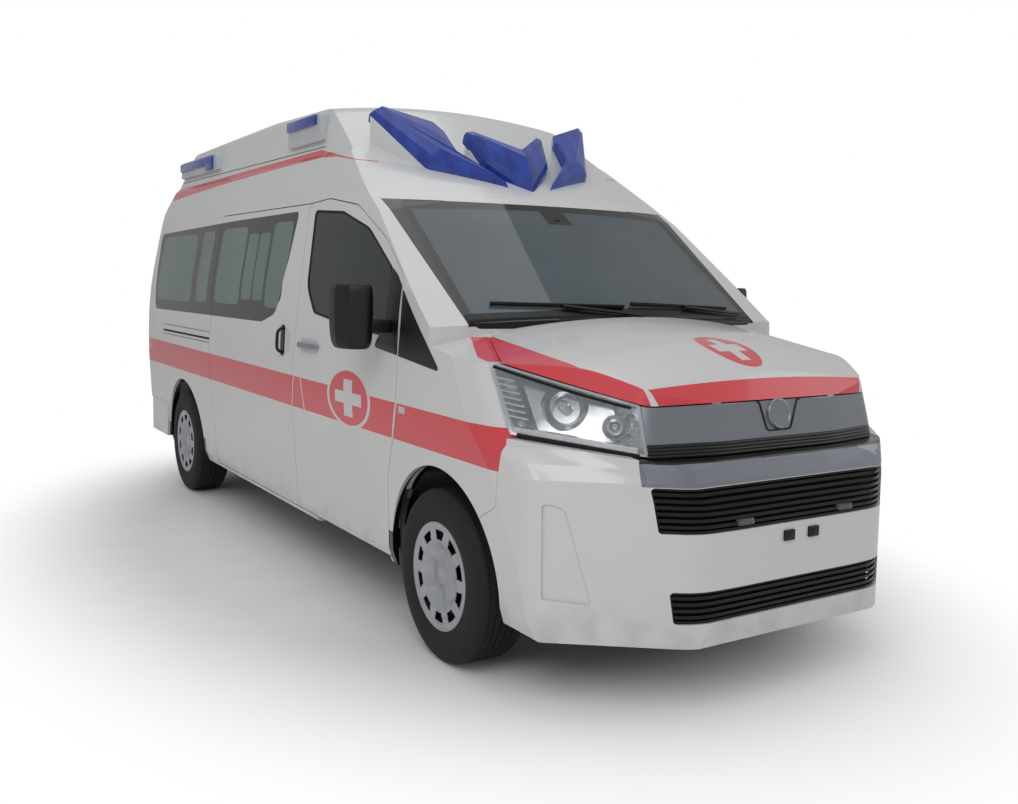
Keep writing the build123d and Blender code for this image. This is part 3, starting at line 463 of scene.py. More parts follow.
    def prism(self, outline: np.ndarray, axis: int, low: float, high: float, inset: float = 0.0) -> "Shell":
        """Carry a flat outline along one axis, drawn in by an inset at its far end.

        Args:
            outline: Points of the two other axes, in x, y, z order.
            axis: Axis of the run, 0 to 2.
            low: Start on it.
            high: End on it.
            inset: Share by which the end is smaller.

        Returns:
            This shell.
        """
        middle = outline.mean(0)
        end = middle + (outline - middle) * (1 - inset)
        layers = []
        for flat, level in ((outline, low), (end, high)):
            layers.append(np.insert(flat, axis, level, axis=1))
        return self.grid(np.stack(layers), around=True, caps="both")

    def twin(self) -> "Shell":
        """Add the mirror image on the vehicle's other side."""
        points = np.concatenate(self.points) * np.array([-1.0, 1.0, 1.0])
        base = self.count
        self.faces += [tuple(i + base for i in face[::-1]) for face in list(self.faces)]
        self.points.append(points)
        self.count += len(points)
        return self

    def turned(self, move: Callable[[np.ndarray], np.ndarray]) -> "Shell":
        """Pass all points through a function of the whole array."""
        self.points = [move(np.concatenate(self.points))]
        return self

    def done(self, name: str, finish: "Finish", body: str, slot: str, smooth: float = 32.0,
             replaces: Sequence[str] = ()) -> bpy.types.Object:
        """Make the object: doubles merged, faces outwards, smooth below an angle, riding on a body.

        Args:
            name: Piece name.
            finish: Its finish.
            body: Body that it rides on.
            slot: The record's material slot; not used.
            smooth: Angle in degrees up to which edges are smooth.
            replaces: CAD nodes that it stands for.

        Returns:
            The object.
        """
        mesh = bpy.data.meshes.new(name)
        mesh.from_pydata(np.concatenate(self.points), [], self.faces)
        work = bmesh.new()
        work.from_mesh(mesh)
        bmesh.ops.remove_doubles(work, verts=work.verts, dist=1e-5)
        bmesh.ops.dissolve_degenerate(work, edges=work.edges, dist=1e-6)
        bmesh.ops.recalc_face_normals(work, faces=work.faces)
        work.to_mesh(mesh)
        work.free()
        mesh.shade_smooth()
        mesh.set_sharp_from_angle(angle=math.radians(smooth))
        mesh.materials.append(finish.make())
        piece = bpy.data.objects.new(name, mesh)
        bpy.context.scene.collection.objects.link(piece)
        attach(piece, body)
        if replaces:
            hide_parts(*replaces)
        LOG.info("%s: %d faces on %s", name, len(mesh.polygons), body)
        return piece


class Skin:
    """Outer surface of CAD nodes, looked up along one axis."""

    def __init__(self, nodes: Sequence[str], axis: int, sign: float) -> None:
        """Gather the nodes' triangles.

        Args:
            nodes: CAD nodes.
            axis: Axis looked along, 0 to 2.
            sign: 1 for the highest surface on it, -1 for the lowest.
        """
        parts = []
        for node in nodes:
            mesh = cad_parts[node].data
            mesh.calc_loop_triangles()
            points = np.empty(len(mesh.vertices) * 3)
            mesh.vertices.foreach_get("co", points)
            corners = np.empty(len(mesh.loop_triangles) * 3, dtype=np.int64)
            mesh.loop_triangles.foreach_get("vertices", corners)
            parts.append(points.reshape(-1, 3)[corners].reshape(-1, 3, 3))
        self.triangles = np.concatenate(parts)
        self.axis = axis
        self.sign = sign
        self.flat = [i for i in range(3) if i != axis]

    def depth(self, where: np.ndarray) -> np.ndarray:
        """Surface coordinate at flat points, and at the nearest hit point where a point misses.

        A point p is in a triangle where all three of its area shares are at least zero, and its depth is the
        corners' depths times those shares.

        Args:
            where: Points of the two other axes, in x, y, z order, any leading shape.

        Returns:
            Depths, of the leading shape.
        """
        shape = where.shape[:-1]
        p = where.reshape(-1, 2)
        flat = self.triangles[:, :, self.flat]
        near = ((flat.max(1) > p.min(0) - 1e-4) & (flat.min(1) < p.max(0) + 1e-4)).all(1)
        flat = flat[near]
        level = self.triangles[near][:, :, self.axis]
        a, b, c = flat[:, 0], flat[:, 1], flat[:, 2]
        to_b, to_c = b - a, c - a
        area = to_b[:, 0] * to_c[:, 1] - to_b[:, 1] * to_c[:, 0]
        real = np.abs(area) > 1e-12
        a, to_b, to_c, area, level = a[real], to_b[real], to_c[real], area[real], level[real]
        found = np.full(len(p), np.nan)
        for start in range(0, len(p), 500):
            to_p = p[start:start + 500, None, :] - a
            second = (to_p[..., 0] * to_c[:, 1] - to_p[..., 1] * to_c[:, 0]) / area
            third = (to_b[:, 0] * to_p[..., 1] - to_b[:, 1] * to_p[..., 0]) / area
            first = 1 - second - third
            value = first * level[:, 0] + second * level[:, 1] + third * level[:, 2]
            inside = (first > -1e-6) & (second > -1e-6) & (third > -1e-6)
            best = np.where(inside, value * self.sign, -np.inf).max(1)
            found[start:start + 500] = np.where(np.isfinite(best), best * self.sign, np.nan)
        missing = np.isnan(found)
        if missing.any() and not missing.all():
            gap = ((p[missing][:, None] - p[~missing][None]) ** 2).sum(-1)
            found[missing] = found[~missing][gap.argmin(1)]
        return found.reshape(shape)

    def level(self, first: float, second: float) -> float:
        """Surface coordinate at one flat place."""
        return float(self.depth(np.array([[first, second]]))[0])

    def lay(self, where: np.ndarray, proud: Union[float, np.ndarray]) -> np.ndarray:
        """Points on the surface at flat places, moved outwards along the axis by proud."""
        level = self.depth(where) + self.sign * proud
        return np.insert(where.reshape(-1, 2), self.axis, level.ravel(), axis=1).reshape(*where.shape[:-1], 3)

    def plate(self, shell: Shell, outline: np.ndarray, proud: float, sink: float, rings: int = 5,
              edge: float = 0.0) -> Shell:
        """Add a plate that follows the surface: rings from the outline to its middle.

        Ring k is middle + (outline - middle) * share(k). The rim may be lower than the rest by an edge.

        Args:
            shell: Shell to add to.
            outline: Its flat outline.
            proud: Height of its face over the surface.
            sink: Depth of its back under the surface.
            rings: Number of rings.
            edge: How much lower the outermost ring is.

        Returns:
            The shell.
        """
        middle = outline.mean(0)
        share = np.linspace(1, 0.02, rings)[:, None, None]
        share[1] = min(0.985, 1 - 0.006 / max(np.ptp(outline, axis=0).min(), 0.02))
        flat = middle + (outline - middle) * share
        height = np.full(flat.shape[:2], proud)
        height[0] -= edge
        front = self.lay(flat, height)
        back = self.lay(flat, -sink)
        return shell.grid(front, around=True, caps="last").grid(back, around=True, caps="last").grid(
            np.stack([front[0], back[0]]), around=True)

    def band(self, shell: Shell, outer: np.ndarray, inner: np.ndarray, proud: float, sink: float) -> Shell:
        """Add a closed band between two outlines, its section a low arch over the surface."""
        share = np.array([0.0, 0.12, 0.5, 0.88, 1.0])[:, None, None]
        flat = outer * (1 - share) + inner * share
        height = np.array([0.2, 0.85, 1.0, 0.85, 0.2])[:, None] * proud * np.ones(len(outer))
        return shell.slab(self.lay(flat, height), self.lay(flat, -sink), around=True)


# Finishes


@dataclass(frozen=True)
class Finish:
    """A finish that makes its material once."""

    name: str

    def make(self) -> bpy.types.Material:
        """The material, made at first use."""
        found = bpy.data.materials.get(self.name)
        return found or self.lay(Bench(bpy.data.materials.new(self.name)))

    def lay(self, bench: Bench) -> bpy.types.Material:
        """Build the material's nodes."""
        raise NotImplementedError


@dataclass(frozen=True)
class Paint(Finish):
    """Glossy paint with faint orange peel and a little road dust low down."""

    colour: Colour = linear(214, 215, 214)
    stripe: Colour = linear(217, 66, 76)

    def livery(self, bench: Bench) -> Optional[Term]:
        """Mask of the coloured stripes, or None for plain paint."""
        return None

    def arches(self, bench: Bench, radius: float = 0.49) -> Term:
        """Inside of the wheel arches: a cylinder about either axle, a little under the outer surface."""
        x, y, z = bench.axes()
        up = (z - TYRE_RADIUS) * (z - TYRE_RADIUS)
        front, rear = y - FRONT_AXLE_Y, y - REAR_AXLE_Y
        near = (front * front + up).least(rear * rear + up) < radius * radius
        return near * (abs(x) < 0.936)

    def trim(self, bench: Bench) -> Tuple[Term, Optional[Term]]:
        """Masks of parts left black, and of silver ones or None."""
        return self.arches(bench), None

    def lay(self, bench: Bench) -> bpy.types.Material:
        """Base colour by the livery, dust near the ground, clear coat over all."""
        x, y, z = bench.axes()
        tint = bench.noise(1.3, 2.0)
        base = bench.blend(tint.rise(0.35, 0.65) * 0.5, self.colour, tuple(c * 0.955 for c in self.colour))
        mask = self.livery(bench)
        if mask is not None:
            base = bench.blend(mask, base, self.stripe)
        dust = (1 - z.rise(0.26, 0.52)) * bench.noise(9.0, 4.0).rise(0.35, 0.75) * 0.35
        base = bench.blend(dust, base, linear(150, 145, 135))
        black, silver = self.trim(bench)
        if silver is not None:
            base = bench.blend(silver, base, linear(148, 152, 160))
        base = bench.blend(black, base, linear(12, 13, 15))
        peel = bench.noise(420.0, 1.0)
        return bench.surface(
            Base_Color=base,
            Metallic=0.0 if silver is None else silver * 0.85,
            Roughness=dust * 0.5 + (bench.noise(6.0, 3.0) * 0.06 + 0.20),
            Coat_Weight=0.4 - dust * 0.3,
            Coat_Roughness=0.04,
            Normal=bench.bump(peel, 0.00004),
        )


@dataclass(frozen=True)
class SidePaint(Paint):
    """Side panels: one wide stripe with thin white cuts, and a roundel with a plain cross on the cab door."""

    roundel: Tuple[Pair, Pair] = ((-1.083, 0.990), (0.225, 0.128))
    cuts: Tuple[Tuple[float, float, float], ...] = (
        (-0.363, -0.324, 0.006),
        (-0.468, -0.507, 0.006),
        (-1.596, -1.553, 0.009),
    )

    def livery(self, bench: Bench) -> Term:
        """Stripe less its cuts and the roundel's rim, plus the roundel and the nose's side band.

        The stripe lies between two near-level lines of y.
        """
        x, y, z = bench.axes()
        low = y * 0.0012 + 0.868
        high = y * 0.0058 + 1.034
        stripe = z.within(low, high) * (y > -2.44)
        for top, bottom, half in self.cuts:
            line = (z - 0.865) * ((top - bottom) / 0.155) + bottom
            stripe = stripe * (abs(y - line) > half)
        (centre_y, centre_z), (half_y, half_z) = self.roundel
        disc, distance = roundel((y - centre_y) / half_y, (z - centre_z) / half_z)
        across = abs(x)
        crest = (across > nose_line(y)) * (across < 0.90) * (z > 1.247) * ahead_of_cowl(across, y)
        return (stripe * (distance > 1.12)).most(disc).most(crest)


@dataclass(frozen=True)
class BonnetPaint(Paint):
    """Bonnet: a red band along each side and across the front, and a roundel with a plain cross."""

    def livery(self, bench: Bench) -> Term:
        """Side band outside a bent line, front band below a crowned one, a gap between, and the roundel."""
        x, y, z = bench.axes()
        across = abs(x)
        crease = (z - 1.106) * 0.452 + 0.53
        side = (across > nose_line(y)) * (across > crease + 0.006) * ahead_of_cowl(across, y)
        front = (z < 1.2 - x * x * 0.075) * (y < -2.68) * (across < crease - 0.010)
        return side.most(front).most(roundel(x / 0.108, (y + 2.565) / 0.155)[0])


def nose_line(y: Term) -> Term:
    """Inner edge of the nose's side band: half width by place along the vehicle, in three straight parts."""
    line = ((y + 2.729) * 0.6 + 0.577).least((y + 2.52) * 0.073 + 0.696)
    return line.most((y + 2.008) * 0.68 + 0.729)


def ahead_of_cowl(across: Term, y: Term) -> Term:
    """1 ahead of the slanting rear end of the nose's side band, else 0."""
    return y < (across - 0.794) * -2.27 - 1.915


@dataclass(frozen=True)
class BumperPaint(Paint):
    """Front bumper: paint, a black shelf under the grille panel and silver round the bright bar."""

    def trim(self, bench: Bench) -> Tuple[Term, Optional[Term]]:
        """Black above the bar and silver beside it, both inside the grille's width."""
        x, y, z = bench.axes()
        middle = (abs(x) < 0.628) * (y < -2.68)
        return (middle * (z > 0.9285)).most(self.arches(bench, 0.44)), middle * z.within(0.851, 0.9285)


@dataclass(frozen=True)
class PillarPaint(Paint):
    """Cab frame: paint, with the screen's black border carried outwards over the pillars."""

    def trim(self, bench: Bench) -> Tuple[Term, Optional[Term]]:
        """Black near the screen's plane, inside a line that widens upwards."""
        x, y, z = bench.axes()
        plane = (z - 1.923) * 1.382 - 1.156
        wide = (z - 1.39).most(0.0) * 0.06 + 0.80
        return (abs(y - plane) < 0.06) * (abs(x) < wide) * z.within(1.36, 1.918), None


@dataclass(frozen=True)
class RoofPaint(Paint):
    """Raised roof: a tapering stripe along each side, cut by two thin joint lines."""

    colour: Colour = linear(211, 213, 213)

    def livery(self, bench: Bench) -> Term:
        """Stripe between two bowed lines on the side walls, cut by two thin joints."""
        x, y, z = bench.axes()
        high = (2.2289 - (y + 0.237) * 0.0088).least(2.2300 + (y + 0.237) * 0.18)
        run = y + 0.3
        low = (2.179 - run * 0.0015 - run * run * 0.0066).least(2.179 + run * 0.06)
        low = low.least(2.1637 + (y + 0.544) * 0.153)
        stripe = z.within(low, high) * (abs(x) > 0.7) * (y < 2.7)
        slanted = (z - 2.17) * -0.5 + 1.21
        return stripe * (abs(y - slanted) > 0.004) * (abs(y + 0.32) > 0.004)


def roundel(across: Term, up: Term) -> Tuple[Term, Term]:
    """Plain disc with a plain cross left out of it.

    Args:
        across: First coordinate, 1 at the disc's edge.
        up: Second coordinate, 1 at the disc's edge.

    Returns:
        Mask of the disc less its cross, and the distance from its middle.
    """
    distance = (across * across + up * up) ** 0.5
    arm = (abs(across) < 0.22) * (abs(up) < 0.68)
    bar = (abs(up) < 0.22) * (abs(across) < 0.68)
    return (distance < 1.0) * (1 - arm.most(bar)), distance


@dataclass(frozen=True)
class Glazing(Finish):
    """Tinted glass with a black ceramic border."""

    tint: Colour = linear(22, 28, 31)
    border: Colour = linear(9, 10, 12)
    see: float = 0.62

    def clear(self, bench: Bench) -> Optional[Term]:
        """Mask of the clear part, or None where all of it is clear."""
        return None

    def lay(self, bench: Bench) -> bpy.types.Material:
        """Dark glossy sheet whose alpha is low in the clear part and full in the border."""
        smear = bench.noise(2.2, 3.0).rise(0.35, 0.7)
        mask = self.clear(bench)
        alpha: object = smear * 0.03 + self.see
        base: object = bench.blend(smear, self.tint, tuple(c * 1.12 for c in self.tint))
        if mask is not None:
            alpha = 1 - mask * (1 - alpha)
            base = bench.blend(mask, self.border, base)
        return bench.surface(
            Base_Color=base,
            Roughness=smear * 0.02 + 0.02,
            Alpha=alpha,
            IOR=1.58,
        )


@dataclass(frozen=True)
class ScreenGlass(Glazing):
    """Windscreen: a border along its edges, deeper at the foot and behind the mirror."""

    see: float = 0.74

    def clear(self, bench: Bench) -> Term:
        """Inside of the tapered outline, less the pad behind the mirror."""
        x, y, z = bench.axes()
        across = abs(x)
        edge = (across < 0.762 - (z - 1.33) * 0.06) * (z < 1.885 - x * x * 0.03) * (z > 1.435 - x * x * 0.05)
        pad = (across < 0.07) * (z > 1.82)
        return edge * (1 - pad)


@dataclass(frozen=True)
class BandGlass(Glazing):
    """Side window band: clear panes in a black band, two of them parts of a sliding window."""

    see: float = 0.84
    tint: Colour = linear(100, 122, 110)
    panes: Tuple[Tuple[float, float, float, float], ...] = (
        (-0.145, 0.155, 1.375, 1.852),
        (0.2, 0.38, 1.41, 1.8),
        (0.405, 0.585, 1.41, 1.8),
        (0.63, 1.135, 1.375, 1.848),
        (1.32, 1.585, 1.37, 1.842),
        (1.71, 2.66, 1.36, 1.832),
    )

    def clear(self, bench: Bench) -> Term:
        """Sum of the panes, each a rectangle with round corners by a power of both distances."""
        x, y, z = bench.axes()
        total: Optional[Term] = None
        for front, rear, low, high in self.panes:
            across = abs(y - (front + rear) / 2) / ((rear - front) / 2)
            up = abs(z - (low + high) / 2) / ((high - low) / 2)
            pane = (across**9 + up**14) < 1.0
            total = pane if total is None else total.most(pane)
        return total


@dataclass(frozen=True)
class Plain(Finish):
    """Solid material with fine grain, soft patches of tone and dust: plastic, metal or rubber."""

    colour: Colour = (0.2, 0.2, 0.2)
    metallic: float = 0.0
    rough: float = 0.5
    grain: float = 900.0
    depth: float = 0.0001
    coat: float = 0.0
    patch: float = 0.12
    specular: float = 0.5

    def lay(self, bench: Bench) -> bpy.types.Material:
        """Colour patched by slow noise, roughness by middling noise, bump by the grain."""
        slow = bench.noise(7.0, 3.0).rise(0.3, 0.7)
        darker = tuple(c * (1 - self.patch) for c in self.colour)
        return bench.surface(
            Base_Color=bench.blend(slow, self.colour, darker),
            Metallic=self.metallic,
            Roughness=bench.noise(23.0, 3.0) * 0.16 + (self.rough - 0.08),
            Coat_Weight=self.coat,
            Specular_IOR_Level=self.specular,
            Normal=bench.bump(bench.noise(self.grain, 2.0), self.depth),
        )


@dataclass(frozen=True)
class Brushed(Plain):
    """Metallic trim whose faint brushing runs across the vehicle."""

    metallic: float = 0.85
    rough: float = 0.3
    slot: Pair = (0.0, 0.0)

    def lay(self, bench: Bench) -> bpy.types.Material:
        """Brushed colour, and black plastic with level ribs between two heights."""
        x, y, z = bench.axes()
        lines = bench.noise(160.0, 2.0, (0.04, 1.0, 6.0))
        upper = 1 - z.within(*self.slot)
        base = bench.blend(lines.rise(0.3, 0.7) * 0.25, self.colour, tuple(c * 0.8 for c in self.colour))
        rib = (z * 520.0).sine() * (1 - upper)
        return bench.surface(
            Base_Color=bench.blend(upper, linear(14, 15, 17), base),
            Metallic=upper * self.metallic,
            Roughness=lines * 0.1 + self.rough,
            Coat_Weight=0.3,
            Normal=bench.bump(rib + lines * 0.02, 0.0015),
        )


@dataclass(frozen=True)
class Lens(Finish):
    """Moulded clear-coloured plastic over a dark inside, with ribs."""

    colour: Colour = linear(44, 74, 168)
    deep: Colour = linear(24, 38, 116)
    ribs: Point = (60.0, 0.0, 0.0)

    def lay(self, bench: Bench) -> bpy.types.Material:
        """Two depths of colour in blocks, as lamps seen through the lens, with ribs in the normal."""
        x, y, z = bench.axes()
        rib = (x * self.ribs[0] + y * self.ribs[1] + z * self.ribs[2]).sine()
        slow = bench.noise(9.0, 1.0).rise(0.40, 0.62)
        share = (slow * 0.35 + (rib > 0.55) * 0.2).least(1.0)
        return bench.surface(
            Base_Color=bench.blend(share, self.colour, self.deep),
            Roughness=slow * 0.05 + 0.14,
            IOR=1.45,
            Coat_Weight=0.3,
            Coat_Roughness=0.05,
            Normal=bench.bump(rib, 0.0006),
        )


@dataclass(frozen=True)
class TailLens(Lens):
    """Tail lamp in three fields from the top: red, amber and clear."""

    def lay(self, bench: Bench) -> bpy.types.Material:
        """Fields by height, fine fluting in the normal."""
        x, y, z = bench.axes()
        flutes = (z * 620.0).sine() * (y * 620.0).sine()
        base = bench.blend(z > 1.26, linear(205, 92, 30), linear(165, 14, 22))
        base = bench.blend(z > 1.13, linear(196, 198, 200), base)
        base = bench.blend(z > 1.0, linear(150, 12, 20), base)
        seam = (abs(z - 1.26) < 0.004).most(abs(z - 1.13) < 0.004)
        base = bench.blend(seam, base, linear(20, 20, 22))
        wing = (abs(x) > 0.90) * ((y < 2.885).most(z > 1.36))
        striped = bench.blend(z < y * 0.0058 + 1.034, linear(214, 215, 214), linear(217, 66, 76))
        return bench.surface(
            Base_Color=bench.blend(wing, base, striped),
            Roughness=bench.noise(5.0, 2.0) * 0.05 + 0.08,
            IOR=1.5,
            Coat_Weight=1.0,
            Coat_Roughness=0.02,
            Normal=bench.bump(flutes, 0.0008),
        )


@dataclass(frozen=True)
class Woven(Finish):
    """Cloth of crossing threads, or padded vinyl when its threads are nil."""

    colour: Colour = linear(52, 54, 60)
    threads: float = 2200.0
    depth: float = 0.0005
    rough: float = 0.85

    def lay(self, bench: Bench) -> bpy.types.Material:
        """Plain weave as the product of two waves, worn paler by slow noise, with a fine grain."""
        x, y, z = bench.axes()
        warp = ((x + z * 0.3) * self.threads).sine()
        weft = ((y + z * 0.7) * self.threads).sine()
        weave = warp * weft
        worn = bench.noise(5.0, 3.0).rise(0.4, 0.75)
        base = bench.blend(worn * 0.5, self.colour, tuple(min(1.0, c * 1.5 + 0.01) for c in self.colour))
        base = bench.blend((weave > 0.2) * 0.3, base, tuple(c * 0.55 for c in self.colour))
        return bench.surface(
            Base_Color=base,
            Roughness=worn * 0.08 + self.rough,
            Sheen_Weight=0.25,
            Sheen_Roughness=0.5,
            Normal=bench.bump(weave * 0.6 + bench.noise(700.0, 2.0), self.depth),
        )


class Stock:
    """Named finishes that pieces share."""

    BLACK = Plain("black_grained", linear(19, 20, 23), rough=0.42, depth=0.00025, specular=0.4)
    SATIN = Plain("black_satin", linear(12, 13, 15), rough=0.32, depth=0.00003, specular=0.35)
    SEAL = Plain("seal_rubber", linear(12, 12, 13), rough=0.6, depth=0.0001, specular=0.3)
    TREAD = Plain("tyre_rubber", linear(24, 24, 26), rough=0.78, grain=500.0, depth=0.0003)
    SILVER = Plain(
        "wheel_silver_finish", linear(178, 181, 187), metallic=0.6, rough=0.34, depth=0.00002, coat=0.2)
    BRIGHT = Plain("lamp_bright", linear(215, 217, 222), metallic=1.0, rough=0.12, depth=0.00002)
    TRIM = Brushed("trim_silver", linear(148, 152, 160))
    PANEL = Brushed("trim_silver_panel", linear(148, 152, 160), slot=(0.9365, 0.99))
    CHASSIS = Plain(
        "chassis_black_finish", linear(26, 26, 28), metallic=0.3, rough=0.55, grain=260.0, depth=0.0005)
    CAST = Plain("cast_metal_finish", linear(74, 74, 76), metallic=0.8, rough=0.6, grain=420.0, depth=0.0006)
    STEEL = Plain("worn_steel", linear(140, 140, 140), metallic=0.9, rough=0.42, depth=0.0002)
    GREY = Plain("interior_grey_finish", linear(120, 122, 124), rough=0.6, depth=0.0004)
    PALE = Plain("interior_pale", linear(186, 187, 186), rough=0.5, depth=0.0003)
    PLINTH = Plain("moulded_white", linear(196, 199, 203), rough=0.4, depth=0.0001, coat=0.2)
    BLUE = Lens("beacon_blue_finish")
    RED = TailLens("tail_lens_finish")
    CLEAR = Glazing("lamp_clear", linear(205, 212, 216), see=0.16)
    SCREEN = ScreenGlass("screen_glass", linear(84, 95, 102))
    BAND = BandGlass("band_glass")
    DOOR = Glazing("door_glass", linear(30, 42, 40), see=0.72)
    CLOTH = Woven("seat_cloth_finish")
    VINYL = Woven("bench_vinyl", linear(30, 62, 110), threads=0.0, depth=0.0003, rough=0.45)
    MATTRESS = Woven("mattress_vinyl", linear(150, 52, 36), threads=0.0, depth=0.0003, rough=0.45)
    # Grey of thin lines that are painted shade: in pressed creases and under the roof's ledge.
    SHADE_LINE = Plain("painted_shade_grey", linear(96, 98, 100), rough=0.6)


DRESSED: Tuple[Tuple[Finish, Tuple[str, ...]], ...] = (
    (SidePaint("paint_side"), (
        "body_side_left", "body_side_right", "sliding_door", "door_left", "door_right", "front_wings")),
    (Paint("paint_plain"), ("rear_bumper", "tailgate")),
    (BumperPaint("paint_bumper"), ("front_bumper",)),
    (PillarPaint("paint_pillars"), ("cab_frame",)),
    (BonnetPaint("paint_bonnet"), ("bonnet",)),
    (RoofPaint("paint_roof"), ("high_roof",)),
    (Stock.SCREEN, ("windscreen",)),
    (Stock.BAND, ("side_windows",)),
    (Stock.DOOR, ("door_glass_left", "door_glass_right", "tailgate_glass")),
    (Stock.BLACK, ("mirror_left", "mirror_right", "steering_wheel")),
    (Stock.SATIN, ("bumper_grilles",)),
    (Stock.PANEL, ("grille_panel",)),
    (Stock.BRIGHT, ("headlamps",)),
    (Stock.CLEAR, ("headlamp_lenses",)),
    (Stock.RED, ("tail_lamps",)),
    (Stock.CHASSIS, ("chassis_frame", "front_axle", "fuel_tank")),
    (Stock.CAST, ("rear_axle", "knuckle_left", "knuckle_right", "engine")),
    (Stock.STEEL, ("exhaust",)),
    (Stock.TREAD, ("spare_wheel",)),
    (Stock.GREY, ("floor", "dashboard", "partition", "cabinet")),
)


def dress(node: str, finish: Finish) -> None:
    """Give a CAD node's object one finish."""
    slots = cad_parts[node].data.materials
    slots.clear()
    slots.append(finish.make())


# The studio


@dataclass
class Studio:
    """Floor, light and the camera at the photograph's place."""

    eye: Point = (-2.8575, -5.4941, 1.5585)
    yaw: float = math.radians(32.246)
    pitch: float = math.radians(5.576)
    roll: float = math.radians(0.874)
    focal: float = 1019.8
    principal: Pair = (510.0, 378.0)
    picture: Pair = (1018.0, 804.0)
    sensor: float = 36.0
    ambient: float = 0.42
    half_floor: float = 60.0
    floor_z: float = -0.001
    lamps: Tuple[Tuple[str, Point, Point, float, float], ...] = (
        ("key", (-5.5, -6.5, 6.5), (0.0, -0.5, 1.0), 5.0, 205.0),
        ("fill", (6.5, -5.0, 5.0), (0.0, -1.0, 1.0), 5.0, 55.0),
        ("top", (0.0, 0.5, 7.5), (0.0, 0.0, 0.0), 6.0, 90.0),
    )

    def camera(self) -> None:
        """Camera from yaw, pitch and roll: its axes are right, up and backwards as matrix columns."""
        ahead = Vector((
            math.sin(self.yaw) * math.cos(self.pitch),
            math.cos(self.yaw) * math.cos(self.pitch),
            -math.sin(self.pitch),
        ))
        right = Vector((math.cos(self.yaw), -math.sin(self.yaw), 0.0))
        upward = right.cross(ahead)
        across = right * math.cos(self.roll) + upward * math.sin(self.roll)
        upward = upward * math.cos(self.roll) - right * math.sin(self.roll)
        data = bpy.data.cameras.new("camera")
        data.sensor_width = self.sensor
        data.lens = self.focal * self.sensor / self.picture[0]
        data.shift_x = (self.picture[0] / 2 - self.principal[0]) / self.picture[0]
        data.shift_y = (self.principal[1] - self.picture[1] / 2) / self.picture[0]
        camera = bpy.data.objects.new("camera", data)
        columns = Matrix((across, upward, -ahead)).transposed()
        camera.matrix_world = Matrix.Translation(self.eye) @ columns.to_4x4()
        bpy.context.scene.collection.objects.link(camera)
        bpy.context.scene.camera = camera

    def lamp(self, name: str, place: Point, target: Point, size: float, power: float) -> None:
        """Soft square area light.

        Args:
            name: Its name.
            place: Where it is.
            target: What it points at.
            size: Side in metres.
            power: Power in watts.
        """
        data = bpy.data.lights.new(name, "AREA")
        data.size = size
        data.energy = power
        lamp = bpy.data.objects.new(name, data)
        lamp.location = place
        lamp.rotation_euler = (Vector(target) - Vector(place)).to_track_quat("-Z", "Y").to_euler()
        bpy.context.scene.collection.objects.link(lamp)

    def world(self) -> None:
        """Even light from around, and white behind whatever the camera or glass sees."""
        world = bpy.data.worlds.new("studio")
        bench = Bench(world)
        strength = bench.node("ShaderNodeMapRange", inputs={
            "To Min": self.ambient, "To Max": 1.0, "Value": bench.seen()})
        background = bench.node("ShaderNodeBackground", inputs={
            "Color": (1.0, 1.0, 1.0), "Strength": strength.outputs["Result"]})
        bench.node("ShaderNodeOutputWorld", inputs={"Surface": background.outputs[0]})
        bpy.context.scene.world = world

    def floor(self) -> None:
        """Pale floor in the plane of the tyres' feet, which passes into white light away from the object."""
        bench = Bench(bpy.data.materials.new("floor_pale"))
        x, y, z = bench.axes()
        far = (x * x + y * y * 0.45) ** 0.5
        grain = bench.noise(3.0, 3.0)
        pale = bench.node("ShaderNodeBsdfPrincipled", inputs={
            "Base Color": bench.blend(grain.rise(0.3, 0.7), (0.93, 0.93, 0.93), (0.90, 0.90, 0.90)),
            "Roughness": 0.9,
        })
        white = bench.node("ShaderNodeEmission", inputs={"Strength": 1.0})
        share = far.rise(1.5, 2.7) * bench.seen()
        mixed = bench.node("ShaderNodeMixShader", inputs={0: share, 1: pale.outputs[0], 2: white.outputs[0]})
        bench.node("ShaderNodeOutputMaterial", inputs={"Surface": mixed.outputs[0]})
        square = oblong(self.half_floor, self.half_floor, self.half_floor)
        corners = np.insert(square, 2, self.floor_z, axis=1)
        mesh = bpy.data.meshes.new("floor_sheet")
        mesh.from_pydata(corners, [], [(0, 1, 2, 3)])
        mesh.materials.append(bench.owner)
        sheet = bpy.data.objects.new("floor_sheet", mesh)
        bpy.context.scene.collection.objects.link(sheet)

    def build(self) -> None:
        """Set up camera, light and floor."""
        self.camera()
        self.world()
        self.floor()
        for row in self.lamps:
            self.lamp(*row)
        bpy.context.scene.view_settings.view_transform = "Standard"


# Sub-assemblies


